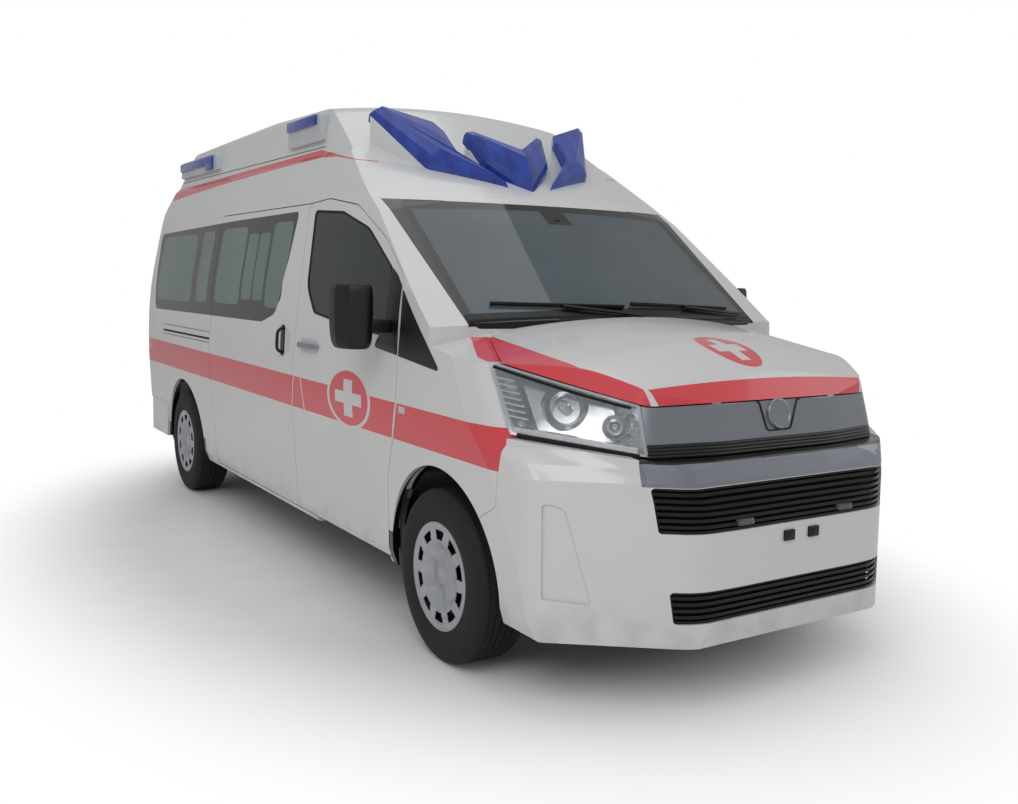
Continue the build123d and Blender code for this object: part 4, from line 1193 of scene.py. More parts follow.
@dataclass
class Tyre:
    """Road tyre with grooves round it, shoulder blocks and a plain sidewall."""

    corner: Corner
    steps: int = 264
    groove_depth: float = 0.008
    tread_half: float = 0.082
    tread_radius: float = 0.3556
    grooves: Tuple[float, ...] = (-0.046, -0.015, 0.015, 0.046)
    wall: Tuple[Tuple[float, float], ...] = (
        (0.1030, 0.2038), (0.1085, 0.212), (0.1090, 0.222), (0.1140, 0.238), (0.1170, 0.262), (0.1172, 0.290),
        (0.1150, 0.312), (0.1095, 0.331), (0.1020, 0.3440), (0.0930, 0.3515), (0.0850, 0.3545),
    )

    def grid(self) -> np.ndarray:
        """Radius over the width and round the wheel.

        The tread's radius falls by a groove's depth where a is near a groove's place or, in the shoulders and
        the middle blocks, where a wave round the wheel that leans with a is high.
        """
        wall = np.array(self.wall)
        tread = np.linspace(-self.tread_half, self.tread_half, 47)
        crown = self.tread_radius - (tread / self.tread_half) ** 4 * 0.0008
        across = np.concatenate([-wall[:, 0], tread, wall[::-1, 0]])
        radius = np.concatenate([wall[:, 1], crown, wall[::-1, 1]])
        angle = np.linspace(0, 2 * np.pi, self.steps, endpoint=False)
        a, turn = across[:, None], angle[None, :]
        on_tread = (np.abs(a) < 0.0925).astype(float)
        near = np.min(np.abs(a[..., None] - np.array(self.grooves)), axis=-1) < 0.0034
        shoulder = (np.abs(a) > 0.05) * (np.abs(a) < 0.084) * (np.sin(88 * turn + 8 * np.abs(a) * 10) > 0.80)
        middle = (np.abs(a) <= 0.05) * (np.sin(88 * turn + a * 260) > 0.86)
        fall = np.maximum(near, np.maximum(shoulder * 0.5, middle * 0.5)) * on_tread * self.groove_depth
        r = radius[:, None] - fall
        _, side, axle = self.corner.value
        x = side * HALF_TRACK + side * a + 0 * turn
        return np.stack([x, axle + r * np.cos(turn), TYRE_RADIUS + r * np.sin(turn)], axis=-1)

    def build(self) -> None:
        """Closed tyre in place of the CAD one: the grid's ends joined by a cylinder at the bead."""
        name = self.corner.value[0]
        points = self.grid()
        shell = Shell().grid(points, around=True)
        shell.grid(np.stack([points[0], points[-1]]), around=True)
        shell.done("tyre_tread_" + name, Stock.TREAD, "wheel_" + name, "rubber", 24.0, ["tyre_" + name])


@dataclass
class WheelCover:
    """Silver wheel cover with ten openings and five dished lobes, over a dark drum and barrel."""

    corner: Corner
    openings: int = 10
    lobes: int = 5
    steps: int = 240
    thick: float = 0.003
    lobe_at: float = 0.098
    lobe_width: float = 0.03
    lobe_depth: float = 0.016
    opening_run: Pair = (0.150, 0.192)
    face: Tuple[Pair, ...] = (
        (0.000, 0.0965), (0.012, 0.0965), (0.030, 0.0960), (0.036, 0.0945), (0.040, 0.0905), (0.056, 0.0870),
        (0.078, 0.0860), (0.104, 0.0920), (0.130, 0.1030), (0.144, 0.1075), (0.1495, 0.1085), (0.158, 0.1080),
        (0.168, 0.1070), (0.178, 0.1062), (0.1890, 0.1065), (0.197, 0.1100), (0.206, 0.1125), (0.2145, 0.1130),
        (0.2205, 0.1110), (0.2225, 0.1050),
    )
    rim: Tuple[Pair, ...] = (
        (-0.1, 0.2028), (0.098, 0.2028), (0.098, 0.196), (0.05, 0.188), (-0.1, 0.192), (-0.1, 0.2028),
    )
    drum: Tuple[Pair, ...] = (
        (0.0245, 0.0), (0.072, 0.0), (0.072, 0.07), (0.058, 0.075), (0.055, 0.187), (0.0245, 0.187),
        (0.0245, 0.0),
    )

    def place(self, across: np.ndarray, radius: np.ndarray, turn: np.ndarray) -> np.ndarray:
        """Points from distance along the axle, radius and angle."""
        _, side, axle = self.corner.value
        x = side * (HALF_TRACK + across)
        return np.stack([x, axle + radius * np.cos(turn), TYRE_RADIUS + radius * np.sin(turn)], axis=-1)

    def build(self) -> None:
        """Build the cover and what shows through its openings."""
        self.cover()
        self.barrel()

    def cover(self) -> None:
        """Sheet whose depth falls by a wave of the angle between the lobes' ridges, less its openings."""
        name = self.corner.value[0]
        face = np.array(self.face)
        turn = np.linspace(0, 2 * np.pi, self.steps, endpoint=False)[None, :]
        radius = face[:, :1] + 0 * turn
        weight = np.exp(-(((radius - self.lobe_at) / self.lobe_width) ** 2))
        wave = np.abs(np.cos(self.lobes * turn / 2)) ** 0.6
        across = face[:, 1:] - self.lobe_depth * weight * wave
        outer = self.place(across, radius, turn)
        inner = self.place(across - self.thick, radius, turn)
        rows, columns = radius.shape
        quads = quads_of(rows, columns, True)
        middle = face[quads[:, 0] // columns, 0] + 0.004
        phase = ((quads[:, 0] % columns) + 0.5) / columns * self.openings % 1.0
        width = np.where(middle < 0.165, 0.50, 0.60)
        low, high = self.opening_run
        kept = quads[~((middle > low) & (middle < high) & (np.abs(phase - 0.5) < width / 2))]
        shell = Shell().add(outer, kept.tolist()).add(inner, kept.tolist())
        edges = np.concatenate([kept[:, [0, 1]], kept[:, [1, 2]], kept[:, [2, 3]], kept[:, [3, 0]]])
        key = np.sort(edges, axis=1)
        _, first, count = np.unique(key, axis=0, return_index=True, return_counts=True)
        start, end = edges[first[count == 1]].T
        total = rows * columns
        both = np.concatenate([outer.reshape(-1, 3), inner.reshape(-1, 3)])
        shell.add(both, np.stack([start, end, end + total, start + total], axis=1).tolist())
        shell.done(
            "wheel_cover_" + name, Stock.SILVER, "wheel_" + name, "wheel_silver", 28.0, ["wheel_" + name])

    def barrel(self) -> None:
        """Rim and brake drum: two closed profiles of place on the axle and radius, turned about it."""
        name = self.corner.value[0]
        turn = np.linspace(0, 2 * np.pi, self.steps, endpoint=False)[None, ::4]
        shell = Shell()
        for profile in (self.rim, self.drum):
            rows = np.array(profile)[:, None, :] + 0 * turn[..., None]
            shell.grid(self.place(rows[..., 0], rows[..., 1], turn + 0 * rows[..., 0]), around=True)
        shell.done("wheel_drum_" + name, Stock.CHASSIS, "wheel_" + name, "chassis_black", 30.0)


@dataclass
class Headlamps:
    """Reflectors, blades and frames behind the clear lenses."""

    bowls: Tuple[Tuple[float, float, float, float], ...] = (
        (0.762, 1.102, 0.074, 0.046),
        (0.652, 1.040, 0.042, 0.038),
    )
    facing: Point = (0.60, -0.79, 0.05)
    bowl: Tuple[Pair, ...] = (
        (-0.030, 0.0), (-0.034, 0.2), (-0.026, 0.7), (-0.006, 0.98), (0.006, 1.04), (0.003, 1.08),
        (-0.008, 1.06), (-0.040, 0.4), (-0.040, 0.0),
    )
    bulb: Tuple[Pair, ...] = ((-0.5, 0.0), (-0.5, 0.30), (0.0, 0.27), (0.12, 0.16), (0.16, 0.0))
    blades: int = 7
    blade_rise: float = 0.022
    frame_run: Pair = (0.60, 0.888)

    def build(self) -> None:
        """Bowls turned about the lamps' outward direction, thin blades at the outer end and a lower frame."""
        lens = Skin(["headlamp_lenses"], 1, -1.0)
        direction = np.array(self.facing) / np.linalg.norm(self.facing)
        bright, dark = Shell(), Shell()
        for x, z, radius, sink in self.bowls:
            centre = np.array([x, lens.level(x, z), z]) - direction * sink
            bowl = np.array(self.bowl) * [radius / 0.045, radius]
            bright.lathe(bowl, tuple(centre), tuple(direction), 40)
            bright.lathe(np.array(self.bulb) * radius, tuple(centre), tuple(direction), 20)
        for index in range(self.blades):
            x = np.linspace(0.846, 0.894, 6)
            flat = np.stack([x, 1.052 + index * self.blade_rise + (x - 0.846) * 0.25], axis=1)
            bright.sweep(lens.lay(flat, -0.022), oblong(0.008, 0.004, 0.003))
        across = np.linspace(*self.frame_run, 24)
        lower = np.stack([across, np.linspace(0.966, 1.014, 24)], axis=1)
        upper = np.stack([across, 1.102 + np.linspace(0, 1, 24) ** 1.2 * 0.118], axis=1)
        bright.sweep(lens.lay(lower, -0.02), oblong(0.012, 0.012, 0.012))
        bright.twin().done("lamp_reflectors", Stock.BRIGHT, Body.SHELL.value, "lamp_housing", 30.0)
        for line, width in ((lower + [0, -0.016], 0.006), (upper + [0, 0.012], 0.005)):
            dark.sweep(lens.lay(line, -0.012), oblong(0.010, width, width))
        dark.twin().done("lamp_seals", Stock.SATIN, Body.SHELL.value, "black_plastic", 30.0)


@dataclass
class FrontTrim:
    """Blank disc in its notch, wipers, cowl, grille backing, small lamps, plate brackets and inside mirror."""

    badge: Pair = (0.0, 1.074)
    badge_radius: float = 0.058
    badge_profile: Tuple[Pair, ...] = (
        (-0.004, 0.0), (-0.004, 1.0), (0.006, 1.0), (0.011, 0.95), (0.012, 0.88), (0.008, 0.80), (0.007, 0.5),
        (0.0075, 0.0),
    )
    notch_line: Tuple[Pair, ...] = (
        (-0.112, 1.124), (-0.098, 1.118), (-0.064, 1.022), (-0.052, 1.014), (0.052, 1.014), (0.064, 1.022),
        (0.098, 1.118), (0.112, 1.124),
    )
    lamp_xs: Pair = (-0.259, 0.259)
    bracket_xs: Pair = (-0.047, 0.080)

    def build(self) -> None:
        """Build each small front piece on the surface that carries it."""
        panel = Skin(["grille_panel"], 1, -1.0)
        disc = np.array(self.badge_profile) * [1.0, self.badge_radius]
        place = (self.badge[0], panel.level(*self.badge), self.badge[1])
        Shell().lathe(disc, place, (0.0, -0.985, 0.17), 56).done(
            "front_disc", Stock.TRIM, Body.SHELL.value, "silver_trim", 30.0)
        self.wipers()
        self.cowl()
        self.backing()
        self.notch(panel)
        self.lamps_and_brackets()
        self.inside_mirror()

    def notch(self, panel: Skin) -> None:
        """Dark line on the grille panel round the disc's place, straight between its points."""
        notch = np.array(self.notch_line)
        steps = np.linspace(0, len(notch) - 1, 60)
        line = np.stack([np.interp(steps, range(len(notch)), notch[:, i]) for i in (0, 1)], axis=1)
        Shell().sweep(panel.lay(line, 0.0), oblong(0.003, 0.003, 0.003)).done(
            "badge_notch", Stock.SATIN, Body.SHELL.value, "black_plastic")

    def lamps_and_brackets(self) -> None:
        """Two small lamps at the upper grille's foot, and two plate brackets under them."""
        front = Skin(["bumper_grilles", "front_bumper"], 1, -1.0)
        lamps, lugs = Shell(), Shell()
        for x in self.lamp_xs:
            y = front.level(x, 0.715)
            lamps.block((x - 0.036, y - 0.012, 0.705), (x + 0.036, y + 0.012, 0.727), 0.004)
        lamps.done("small_front_lamps", Stock.CLEAR, Body.SHELL.value, "lamp_lens")
        for x in self.bracket_xs:
            y = front.level(x, 0.645)
            lugs.block((x - 0.026, y - 0.010, 0.625), (x + 0.026, y + 0.002, 0.664), 0.003)
            lugs.block((x - 0.012, y - 0.0122, 0.637), (x + 0.018, y - 0.004, 0.652), 0.002)
        lugs.done("plate_brackets", Stock.BLACK, Body.SHELL.value, "black_plastic")

    def inside_mirror(self) -> None:
        """Mirror on a bent stalk from the top of the screen."""
        y = Skin(["windscreen"], 1, -1.0).level(0.0, 1.83)
        mirror = Shell().block((-0.12, y + 0.10, 1.765), (0.12, y + 0.125, 1.83), 0.01)
        stalk = np.array([(0.0, y + 0.012, 1.835), (0.0, y + 0.06, 1.83), (0.0, y + 0.11, 1.81)])
        mirror.sweep(stalk, oblong(0.014, 0.01, 0.01))
        mirror.done("inside_mirror", Stock.BLACK, Body.SHELL.value, "black_plastic")

    def backing(self) -> None:
        """Black sheets behind the bumper's grilles, bowed as the bumper is."""
        skin = Skin(["front_bumper"], 1, -1.0)
        x = np.linspace(-0.59, 0.59, 41)
        bow = skin.depth(np.stack([x, np.full(41, 0.60)], axis=1))
        shell = Shell()
        for low, high in ((0.362, 0.500), (0.680, 0.846)):
            z = np.linspace(low, high, 4)[:, None] + 0 * x
            front = np.stack([np.broadcast_to(x, z.shape), np.broadcast_to(bow + 0.052, z.shape), z], axis=-1)
            shell.slab(front, front + [0.0, 0.004, 0.0])
        shell.done("grille_backing", Stock.SEAL, Body.SHELL.value, "black_plastic", 40.0)

    def wipers(self) -> None:
        """Two wiper blades and arms parked along the foot of the screen."""
        glass = Skin(["windscreen"], 1, -1.0)
        shell = Shell()
        blade = np.array([
            (-0.004, -0.004), (0.004, -0.004), (0.006, 0.004), (0.002, 0.012), (-0.002, 0.012),
            (-0.006, 0.004)])
        arm = oblong(0.007, 0.003, 0.004)
        for start, end in (((-0.66, 1.452), (-0.03, 1.440)), ((0.02, 1.452), (0.64, 1.428))):
            line = np.linspace(start, end, 22)
            path = glass.lay(line, 0.012)
            shell.sweep(path, blade, (0.0, -0.6, 0.8))
            middle = (np.array(start) + np.array(end)) / 2
            rest = np.linspace(middle, (end[0] + 0.06, 1.405), 12)
            lifted = glass.lay(rest, 0.026)
            shell.sweep(lifted, arm, (0.0, -0.6, 0.8))
        shell.done("screen_wipers", Stock.SATIN, Body.SHELL.value, "black_plastic")

    def cowl(self) -> None:
        """Black cover between bonnet and screen: a strip that follows the bonnet's rear arc."""
        under = Skin(["windscreen", "cab_frame"], 2, 1.0)
        x = np.linspace(-0.79, 0.79, 61)
        arc = -2.008 + 0.145 * x**2
        share = np.linspace(0, 1, 5)[:, None]
        y = arc + 0.008 + share * 0.050
        flat = np.stack([np.broadcast_to(x, y.shape), y], axis=-1)
        level = under.depth(flat)
        smooth = np.stack([np.interp(x, x[::6], row[::6]) for row in level])
        top = np.concatenate([flat, (smooth + 0.004)[..., None]], axis=-1)
        low = np.concatenate([flat, (smooth - 0.012)[..., None]], axis=-1)
        Shell().slab(top, low).done("cowl_cover", Stock.SATIN, Body.SHELL.value, "black_plastic", 40.0)


@dataclass
class SideTrim:
    """Handles, seals, corner triangles, lamps and mirror glass on one side."""

    side: str
    sign: float
    glass_rows: Tuple[Tuple[float, float, float], ...] = (
        (-1.478, 1.300, 0.060), (-1.478, 1.590, 0.060), (-1.155, 1.780, 0.300), (-0.815, 1.870, 0.120),
        (-0.446, 1.892, 0.030), (-0.500, 1.500, 0.150), (-0.620, 1.372, 0.060), (-1.000, 1.330, 0.600),
    )

    def build(self) -> None:
        """Build the door's and the body's pieces of this side."""
        door = "door_" + self.side
        skin = Skin([door, "door_glass_" + self.side], 0, self.sign)
        outline = rounded(self.glass_rows, 8)
        middle = outline.mean(0)
        inner = middle + (outline - middle) * 0.965
        outer = middle + (outline - middle) * 1.012
        skin.band(Shell(), outer, inner, 0.0025, 0.003).done(
            "glass_seal_" + self.side, Stock.SEAL, door, "black_plastic", 50.0)
        self.triangle(skin, door)
        self.handle(skin, door)
        wing = Skin(["front_wings"], 0, self.sign)
        lamp = rounded_box((-1.685, 0.985), (-1.625, 1.015), 0.006, 4)
        wing.plate(Shell(), lamp, 0.005, 0.003, 4, 0.003).done(
            "side_repeater_" + self.side, Stock.PLINTH, Body.SHELL.value, "lamp_lens")
        self.mirror_head(door)
        self.mirror_glass(door)

    def triangle(self, skin: Skin, door: str) -> None:
        """Black corner cover ahead of the door glass, split at the door's edge."""
        rear = rounded([
            (-1.588, 1.226, 0.01), (-1.588, 1.520, 0.005), (-1.535, 1.566, 0.01), (-1.470, 1.600, 0.01),
            (-1.470, 1.305, 0.02), (-1.360, 1.256, 0.01), (-1.372, 1.246, 0.01)], 4)
        skin.plate(Shell(), rear, 0.004, 0.003, 8, 0.003).done(
            "corner_cover_" + self.side, Stock.BLACK, door, "black_plastic", 40.0)
        body = Skin(["cab_frame", "front_wings"], 0, self.sign)
        front = rounded([(-1.975, 1.188, 0.012), (-1.603, 1.506, 0.004), (-1.603, 1.224, 0.004)], 4)
        body.plate(Shell(), front, 0.004, 0.004, 10, 0.003).done(
            "corner_foot_" + self.side, Stock.BLACK, Body.SHELL.value, "black_plastic", 40.0)

    def handle(self, skin: Skin, door: str) -> None:
        """Pull handle over a shallow grey cup, with a key cylinder."""
        y = np.linspace(-0.70, -0.455, 22)
        share = np.linspace(-1, 1, 22)
        lift = 0.030 * (1 - share**6) + 0.002
        path = skin.lay(np.stack([y, np.full(22, 1.203)], axis=1), lift)
        bar = Shell().sweep(path, oval(0.007, 0.014), scale=0.75 + 0.25 * (1 - share**4))
        bar.done("handle_" + self.side, Stock.TRIM, door, "silver_trim", 40.0)
        cup = rounded_box((-0.70, 1.168), (-0.45, 1.236), 0.03, 6)
        skin.plate(Shell(), cup, 0.0012, 0.003, 4, 0.001).done(
            "handle_cup_" + self.side, Stock.PLINTH, door, "body_white", 40.0)
        x = skin.level(-0.425, 1.203)
        lock = np.array([(-0.003, 0.0), (-0.003, 0.011), (0.003, 0.011), (0.004, 0.009), (0.004, 0.0)])
        Shell().lathe(lock, (x, -0.425, 1.203), (self.sign, 0.0, 0.0), 24).done(
            "key_cylinder_" + self.side, Stock.STEEL, door, "steel")

    def mirror_glass(self, door: str) -> None:
        """Mirror glass on the rear face of the mirror head, turned towards the driver."""
        angle = self.sign * math.radians(22.0)
        cos, sin = math.cos(angle), math.sin(angle)
        turn = np.array([[cos, -sin, 0], [sin, cos, 0], [0, 0, 1.0]])
        centre = np.array([self.sign * 1.105, -1.470, 1.387])
        glass = Shell().block((-0.062, 0.046, -0.118), (0.062, 0.0505, 0.118), 0.002)
        glass.turned(lambda p: p @ turn.T + centre)
        glass.done("mirror_glass_" + self.side, Stock.BRIGHT, door, "steel")

    def mirror_head(self, door: str) -> None:
        """Mirror housing on its arm: rounded plan sections that draw in towards the top and the foot."""
        plan = rounded([
            (1.022, -1.430, 0.006), (1.040, -1.520, 0.030), (1.075, -1.552, 0.030), (1.150, -1.520, 0.045),
            (1.184, -1.440, 0.030), (1.182, -1.368, 0.008)], 6)
        middle = plan.mean(0)
        rows = (
            (1.2500, 0.62), (1.2515, 0.72), (1.258, 0.82), (1.275, 0.905), (1.305, 0.96), (1.345, 0.99),
            (1.39, 1.0), (1.470, 1.0), (1.500, 0.975), (1.515, 0.93), (1.523, 0.86), (1.525, 0.78))
        rings = []
        for height, share in rows:
            flat = middle + (plan - middle) * share
            rings.append(np.insert(flat * [self.sign, 1.0], 2, height, axis=1))
        shell = Shell().grid(np.stack(rings), around=True, caps="both")
        shell.block((self.sign * 0.956, -1.532, 1.318), (self.sign * 1.065, -1.482, 1.376), 0.016, 5)
        shell.done(
            "mirror_head_" + self.side, Stock.BLACK, door, "black_plastic", 40.0, ["mirror_" + self.side])


@dataclass
class SlidingDoorTrim:
    """Upright handle, rail slot and grey lines of painted shade along the pressed creases, on the side with the
    sliding door.
    """

    def build(self) -> None:
        """Lay the pieces on the right side's panels."""
        skin = Skin(["sliding_door", "body_side_right", "side_windows"], 0, -1.0)
        cup = rounded_box((-0.215, 1.125), (-0.150, 1.292), 0.02, 6)
        skin.plate(Shell(), cup, 0.002, 0.003, 4, 0.0015).done(
            "slide_handle_cup", Stock.SATIN, Body.SHELL.value, "black_plastic", 40.0)
        z = np.linspace(1.142, 1.276, 18)
        share = np.linspace(-1, 1, 18)
        path = skin.lay(np.stack([np.full(18, -0.183), z], axis=1), 0.030 * (1 - share**6) + 0.002)
        Shell().sweep(path, oval(0.012, 0.008), (-1.0, 0.0, 0.0)).done(
            "slide_handle", Stock.BLACK, Body.SHELL.value, "black_plastic", 40.0)
        slot = rounded_box((1.2, 1.129), (2.42, 1.143), 0.005, 3)
        skin.plate(Shell(), slot, 0.0012, 0.003, 4, 0.0006).done(
            "slide_rail_slot", Stock.SEAL, Body.SHELL.value, "black_plastic", 40.0)
        # Grey lines over and under the rail slot: painted shade in the pressed creases of the panel.
        lines = Shell()
        for z_line in (1.111, 1.180):
            path = skin.lay(np.stack([np.linspace(1.2, 2.42, 40), np.full(40, z_line)], axis=1), 0.0)
            lines.sweep(path, oblong(0.0015, 0.002, 0.002))
        lines.done("slide_rail_crease_shade", Stock.SHADE_LINE, Body.SHELL.value, "body_white")


@dataclass
class RoofTrim:
    """Blue side lights on their brackets, and a grey line of painted shade under the roof's ledge."""

    brackets: Tuple[Tuple[float, float, float], ...] = ((1.650, 2.575, 2.392), (-0.255, 0.235, 2.424))
    lights: Tuple[Tuple[Point, Point], ...] = (
        ((0.700, -0.206, 2.366), (0.788, 0.226, 2.420)),
        ((0.700, 1.732, 2.324), (0.788, 2.560, 2.382)),
        ((0.700, 1.735, 2.286), (0.787, 1.900, 2.336)),
    )

    def build(self) -> None:
        """White brackets and the blue side lights on them: a bar in front, a bar with a foot at the rear."""
        shell = Shell()
        for front, rear, top in self.brackets:
            outline = rounded([
                (front - 0.03, 2.275, 0.01), (rear + 0.02, 2.275, 0.01), (rear, top, 0.01),
                (front, top, 0.01)], 4)
            shell.prism(outline, 0, 0.640, 0.772, 0.03)
        shell.twin().done("side_light_brackets", Stock.PLINTH, Body.SHELL.value, "roof_white", 35.0)
        lights = Shell()
        for low, high in self.lights:
            lights.block(low, high, 0.008)
        lights.twin().done("side_lights", Stock.BLUE, Body.SHELL.value, "beacon_blue", 35.0, ["side_strobes"])
        # Grey line along the ledge over the stripe: painted shade under the roof's step.
        skin = Skin(["high_roof"], 0, -1.0)
        line = Shell()
        path = skin.lay(np.stack([np.linspace(-0.3, 2.62, 70), np.linspace(2.2415, 2.2475, 70)], axis=1), 0.0)
        line.sweep(path, oblong(0.002, 0.002, 0.002))
        line.twin().done("ledge_painted_shade", Stock.SHADE_LINE, Body.SHELL.value, "roof_white")


@dataclass
class Beacons:
    """Three faceted blue lenses on the roof's sloping front."""

    wedge: Tuple[Tuple[Point, float], ...] = (
        ((0.121, -1.131, 2.024), 0.0), ((0.479, -0.962, 2.143), 0.45), ((0.666, -0.655, 2.400), 1.0),
        ((0.618, -0.672, 2.427), 1.0), ((0.372, -0.785, 2.362), 0.62), ((0.338, -0.842, 2.310), 0.5),
        ((0.342, -0.952, 2.196), 0.3),
    )
    wedge_ridge: Tuple[Point, Point] = ((0.230, -1.058, 2.098), (0.570, -0.745, 2.362))
    arm: Tuple[Tuple[Point, float], ...] = (
        ((0.0006, -1.164, 2.004), 0.0), ((0.189, -1.014, 2.158), 0.55), ((0.236, -0.866, 2.306), 1.0),
        ((0.196, -0.872, 2.314), 1.0), ((0.0006, -1.036, 2.226), 0.0),
    )
    arm_ridge: Tuple[Point, Point] = ((0.0006, -1.104, 2.140), (0.196, -0.930, 2.262))
    thick: float = 0.060

    def lens(self, shell: Shell, ring: Tuple[Tuple[Point, float], ...], ridge: Tuple[Point, Point]) -> None:
        """Closed lens over a corner ring: foot, shoulder, rim and crest.

        Each corner has a share along the ridge, and is drawn towards that point of it: rim a fifth of the way
        and crest two thirds of it, raised a little.
        """
        corners = np.array([corner for corner, _ in ring])
        share = np.array([part for _, part in ring])[:, None]
        target = np.array(ridge[0]) * (1 - share) + np.array(ridge[1]) * share
        down = np.array([0.0, 0.35, -1.0]) * self.thick
        rings = [corners + down, corners + down * 0.38]
        for part, rise in ((0.16, 0.0), (0.66, 0.006)):
            rings.append(corners + (target - corners) * part + [0.0, -0.5 * rise, rise])
        shell.grid(np.stack(rings), around=True, caps="both")

    def build(self) -> None:
        """Wedges on both sides and the chevron's two arms."""
        lenses = Shell()
        self.lens(lenses, self.wedge, self.wedge_ridge)
        self.lens(lenses, self.arm, self.arm_ridge)
        lenses.twin().done("beacon_lenses", Stock.BLUE, Body.SHELL.value, "beacon_blue", 9.0, ["front_beacons"])


@dataclass
class RearTrim:
    """Plate ground, handle, high brake lamp, glass border, wiper and reflectors at the rear."""

    def build(self) -> None:
        """Lay the pieces on the tailgate and the rear bumper."""
        gate = Skin(["tailgate", "tailgate_glass"], 1, 1.0)
        ride = Body.TAILGATE.value
        plate = rounded_box((-0.30, 0.985), (0.30, 1.115), 0.01, 4)
        gate.plate(Shell(), plate, 0.002, 0.003, 4, 0.0015).done(
            "plate_ground", Stock.PALE, ride, "interior_grey", 40.0)
        outline = rounded([
            (-0.36, 1.125, 0.01), (0.36, 1.125, 0.01), (0.34, 1.165, 0.015), (-0.34, 1.165, 0.015)], 4)
        gate.plate(Shell(), outline, 0.018, 0.003, 5, 0.004).done(
            "gate_handle", Stock.TRIM, ride, "silver_trim", 40.0)
        lamp = rounded_box((-0.17, 1.893), (0.17, 1.918), 0.008, 4)
        gate.plate(Shell(), lamp, 0.008, 0.003, 4, 0.004).done(
            "high_brake_lamp", Stock.RED, ride, "tail_lens", 40.0)
        frame_line = rounded([
            (-0.690, 1.190, 0.06), (0.690, 1.190, 0.06), (0.655, 1.840, 0.07), (-0.655, 1.840, 0.07)], 8)
        inner = frame_line * [0.955, 1.0]
        inner[:, 1] = 1.515 + (inner[:, 1] - 1.515) * 0.91
        gate.band(Shell(), frame_line * [1.006, 1.0], inner, 0.002, 0.003).done(
            "gate_glass_border", Stock.SATIN, ride, "black_plastic", 40.0)
        wiper = Shell()
        path = gate.lay(np.linspace((0.02, 1.235), (0.46, 1.262), 20), 0.014)
        wiper.sweep(path, oblong(0.004, 0.006, 0.006), (0.0, 1.0, 0.0))
        y = gate.level(0.0, 1.225)
        wiper.lathe(np.array([(-0.002, 0.0), (-0.002, 0.03), (0.018, 0.026), (0.024, 0.014), (0.025, 0.0)]),
                    (0.0, y, 1.225), (0.0, 1.0, 0.1), 28)
        wiper.done("rear_wiper", Stock.SATIN, ride, "black_plastic", 40.0)
        bumper = Skin(["rear_bumper"], 1, 1.0)
        marks = Shell()
        mark = rounded_box((0.66, 0.455), (0.80, 0.49), 0.01, 4)
        bumper.plate(marks, mark, 0.003, 0.003, 4, 0.002)
        marks.twin().done("rear_reflectors", Stock.RED, Body.SHELL.value, "tail_lens", 40.0)


@dataclass
class Cushion:
    """Crowned pad whose sides pull in between its corners, with channels sewn across it."""

    low: Point
    high: Point
    channels: int = 0
    crown: float = 0.12
    lean: float = 0.0
    along: int = 1

    def points(self, columns: int = 72, rows: int = 36) -> np.ndarray:
        """Superellipsoid: each coordinate is the sign times a small power of the sphere's, then crowned.

        The top rises by crown times (1 - u^2)(1 - v^2), the sides pull in by a small share of 1 - v^2 and
        1 - u^2, and each channel lowers the skin by a narrow bell curve. A leaning pad moves back in step with
        its height.
        """
        low, high = np.array(self.low), np.array(self.high)
        middle, half = (low + high) / 2, (high - low) / 2
        up = np.linspace(-np.pi / 2, np.pi / 2, rows)[:, None]
        turn = np.linspace(0, 2 * np.pi, columns, endpoint=False)[None, :]

        def power(value: np.ndarray, exponent: float) -> np.ndarray:
            """Power that keeps the sign."""
            return np.sign(value) * np.abs(value) ** exponent

        thin = int(np.argmin(half))
        others = [i for i in range(3) if i != thin]
        sphere = np.empty((rows, columns, 3))
        sphere[..., others[0]] = power(np.cos(up), 0.28) * power(np.cos(turn), 0.22)
        sphere[..., others[1]] = power(np.cos(up), 0.28) * power(np.sin(turn), 0.22)
        sphere[..., thin] = power(np.sin(up), 0.55) + 0 * turn
        u, v = sphere[..., others[0]], sphere[..., others[1]]
        swell = np.clip(1 - u**2, 0, 1) * np.clip(1 - v**2, 0, 1)
        body = sphere.copy()
        body[..., thin] *= (1 - self.crown) + self.crown * swell
        body[..., others[0]] *= 1 - 0.025 * (1 - v**2)
        body[..., others[1]] *= 1 - 0.015 * (1 - u**2)
        if self.channels:
            run = sphere[..., self.along]
            places = np.linspace(-1, 1, self.channels + 2)[1:-1]
            dip = np.exp(-(((run[..., None] - places) / 0.03) ** 2)).max(-1)
            body[..., thin] *= 1 - 0.16 * dip
        points = middle + body * half
        if self.lean:
            points[..., 1] += self.lean * (points[..., 2] - low[2])
        return points

    def build(self, name: str, finish: Finish, slot: str, fill: float, replaces: Sequence[str] = ()) -> None:
        piece = Shell().grid(self.points(), around=True, caps="both").done(
            name, finish, Body.SHELL.value, slot, 80.0, replaces)


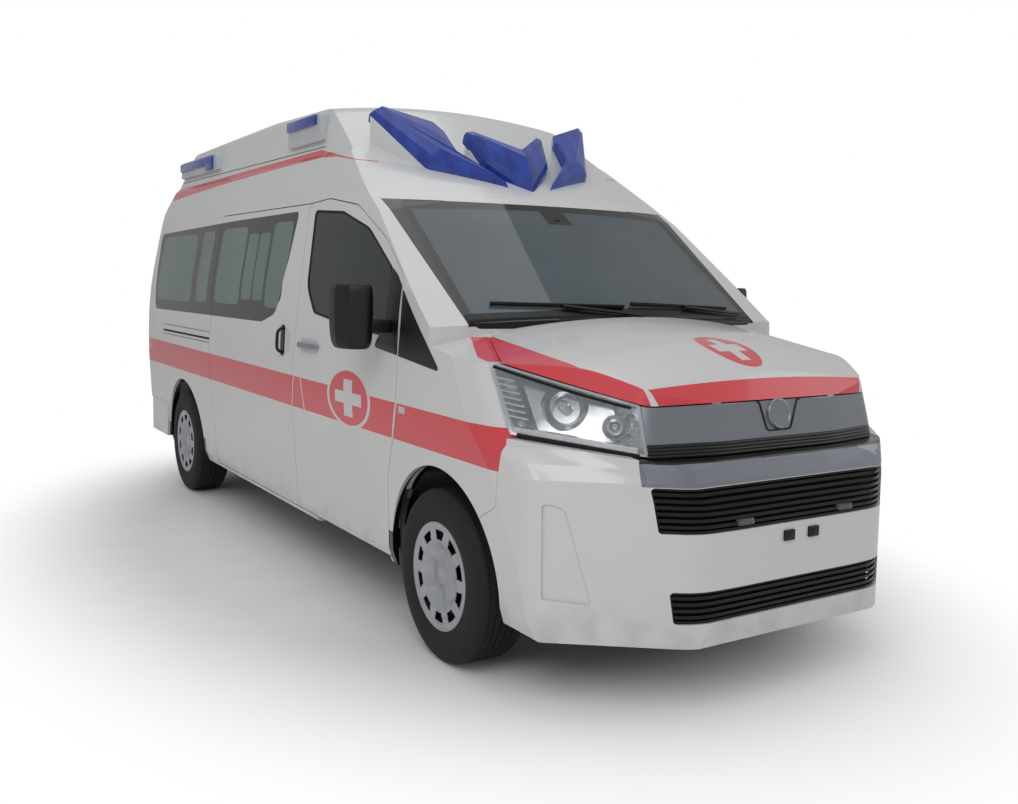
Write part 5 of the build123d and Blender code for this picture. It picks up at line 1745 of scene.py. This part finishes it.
@dataclass
class Cabin:
    """Front seats, bench, stretcher and small fittings seen through the glass."""

    seat_xs: Tuple[float, float] = (-0.43, 0.43)

    def build(self) -> None:
        """Pads in the places of their CAD solids, with their bases and frames."""
        bases = Shell()
        for index, x in enumerate(self.seat_xs):
            name = ("right", "left")[index]
            replaced = ["front_seats"] if index == 0 else []
            Cushion((x - 0.245, -1.145, 0.802), (x + 0.245, -0.665, 0.928), 2, 0.3).build(
                "seat_cushion_" + name, Stock.CLOTH, "seat_cloth", 0.7, replaced)
            Cushion((x - 0.245, -0.765, 0.905), (x + 0.245, -0.655, 1.40), 2, 0.3, 0.24, 2).build(
                "seat_back_" + name, Stock.CLOTH, "seat_cloth", 0.7)
            Cushion((x - 0.125, -0.625, 1.395), (x + 0.125, -0.535, 1.525), 0, 0.3, 0.05, 2).build(
                "headrest_" + name, Stock.CLOTH, "seat_cloth", 0.8)
            bases.block((x - 0.235, -1.125, 0.642), (x + 0.235, -0.645, 0.80), 0.015)
        bases.done("seat_bases", Stock.BLACK, Body.SHELL.value, "black_plastic")
        Cushion((-0.848, 1.252, 1.022), (-0.422, 2.598, 1.118), 3, 0.35).build(
            "bench_pad", Stock.VINYL, "vinyl_blue", 0.7, ["bench_seat"])
        Shell().block((-0.494, 1.256, 0.642), (-0.441, 2.594, 1.02), 0.006).done(
            "bench_front", Stock.GREY, Body.SHELL.value, "interior_grey")
        Cushion((-0.118, 0.252, 0.912), (0.438, 2.198, 0.979), 4, 0.4).build(
            "stretcher_pad", Stock.MATTRESS, "mattress", 0.6, ["stretcher"])
        frame_shell = Shell()
        for x in (-0.055, 0.325):
            frame_shell.block((x, 0.41, 0.655), (x + 0.05, 1.99, 0.700), 0.006)
            frame_shell.block((x, 0.30, 0.875), (x + 0.05, 2.15, 0.905), 0.006)
        for y, run in ((0.50, 0.75), (1.75, 1.5)):
            path = np.array([(0.16, y, 0.69), (0.16, (y + run) / 2, 0.79), (0.16, run, 0.885)])
            frame_shell.sweep(path, oblong(0.17, 0.012, 0.012))
        frame_shell.done("stretcher_frame", Stock.STEEL, Body.SHELL.value, "steel")
        hood = Shell().block((0.22, -1.42, 1.175), (0.64, -1.33, 1.236), 0.03, 5)
        hood.block((-0.14, -1.385, 0.96), (0.14, -1.345, 1.16), 0.012)
        hood.done("dash_fittings", Stock.BLACK, Body.SHELL.value, "black_plastic")


def main() -> None:
    """Build every sub-assembly in order and report it."""
    logging.basicConfig(level=logging.INFO, format="%(message)s")
    Studio().build()
    for finish, nodes in DRESSED:
        for node in nodes:
            dress(node, finish)
    for corner in Corner:
        Tyre(corner).build()
        WheelCover(corner).build()
    Headlamps().build()
    FrontTrim().build()
    for side, sign in SIDES:
        SideTrim(side, sign).build()
    SlidingDoorTrim().build()
    RoofTrim().build()
    Beacons().build()
    RearTrim().build()
    Cabin().build()


if __name__ == "__main__":
    main()
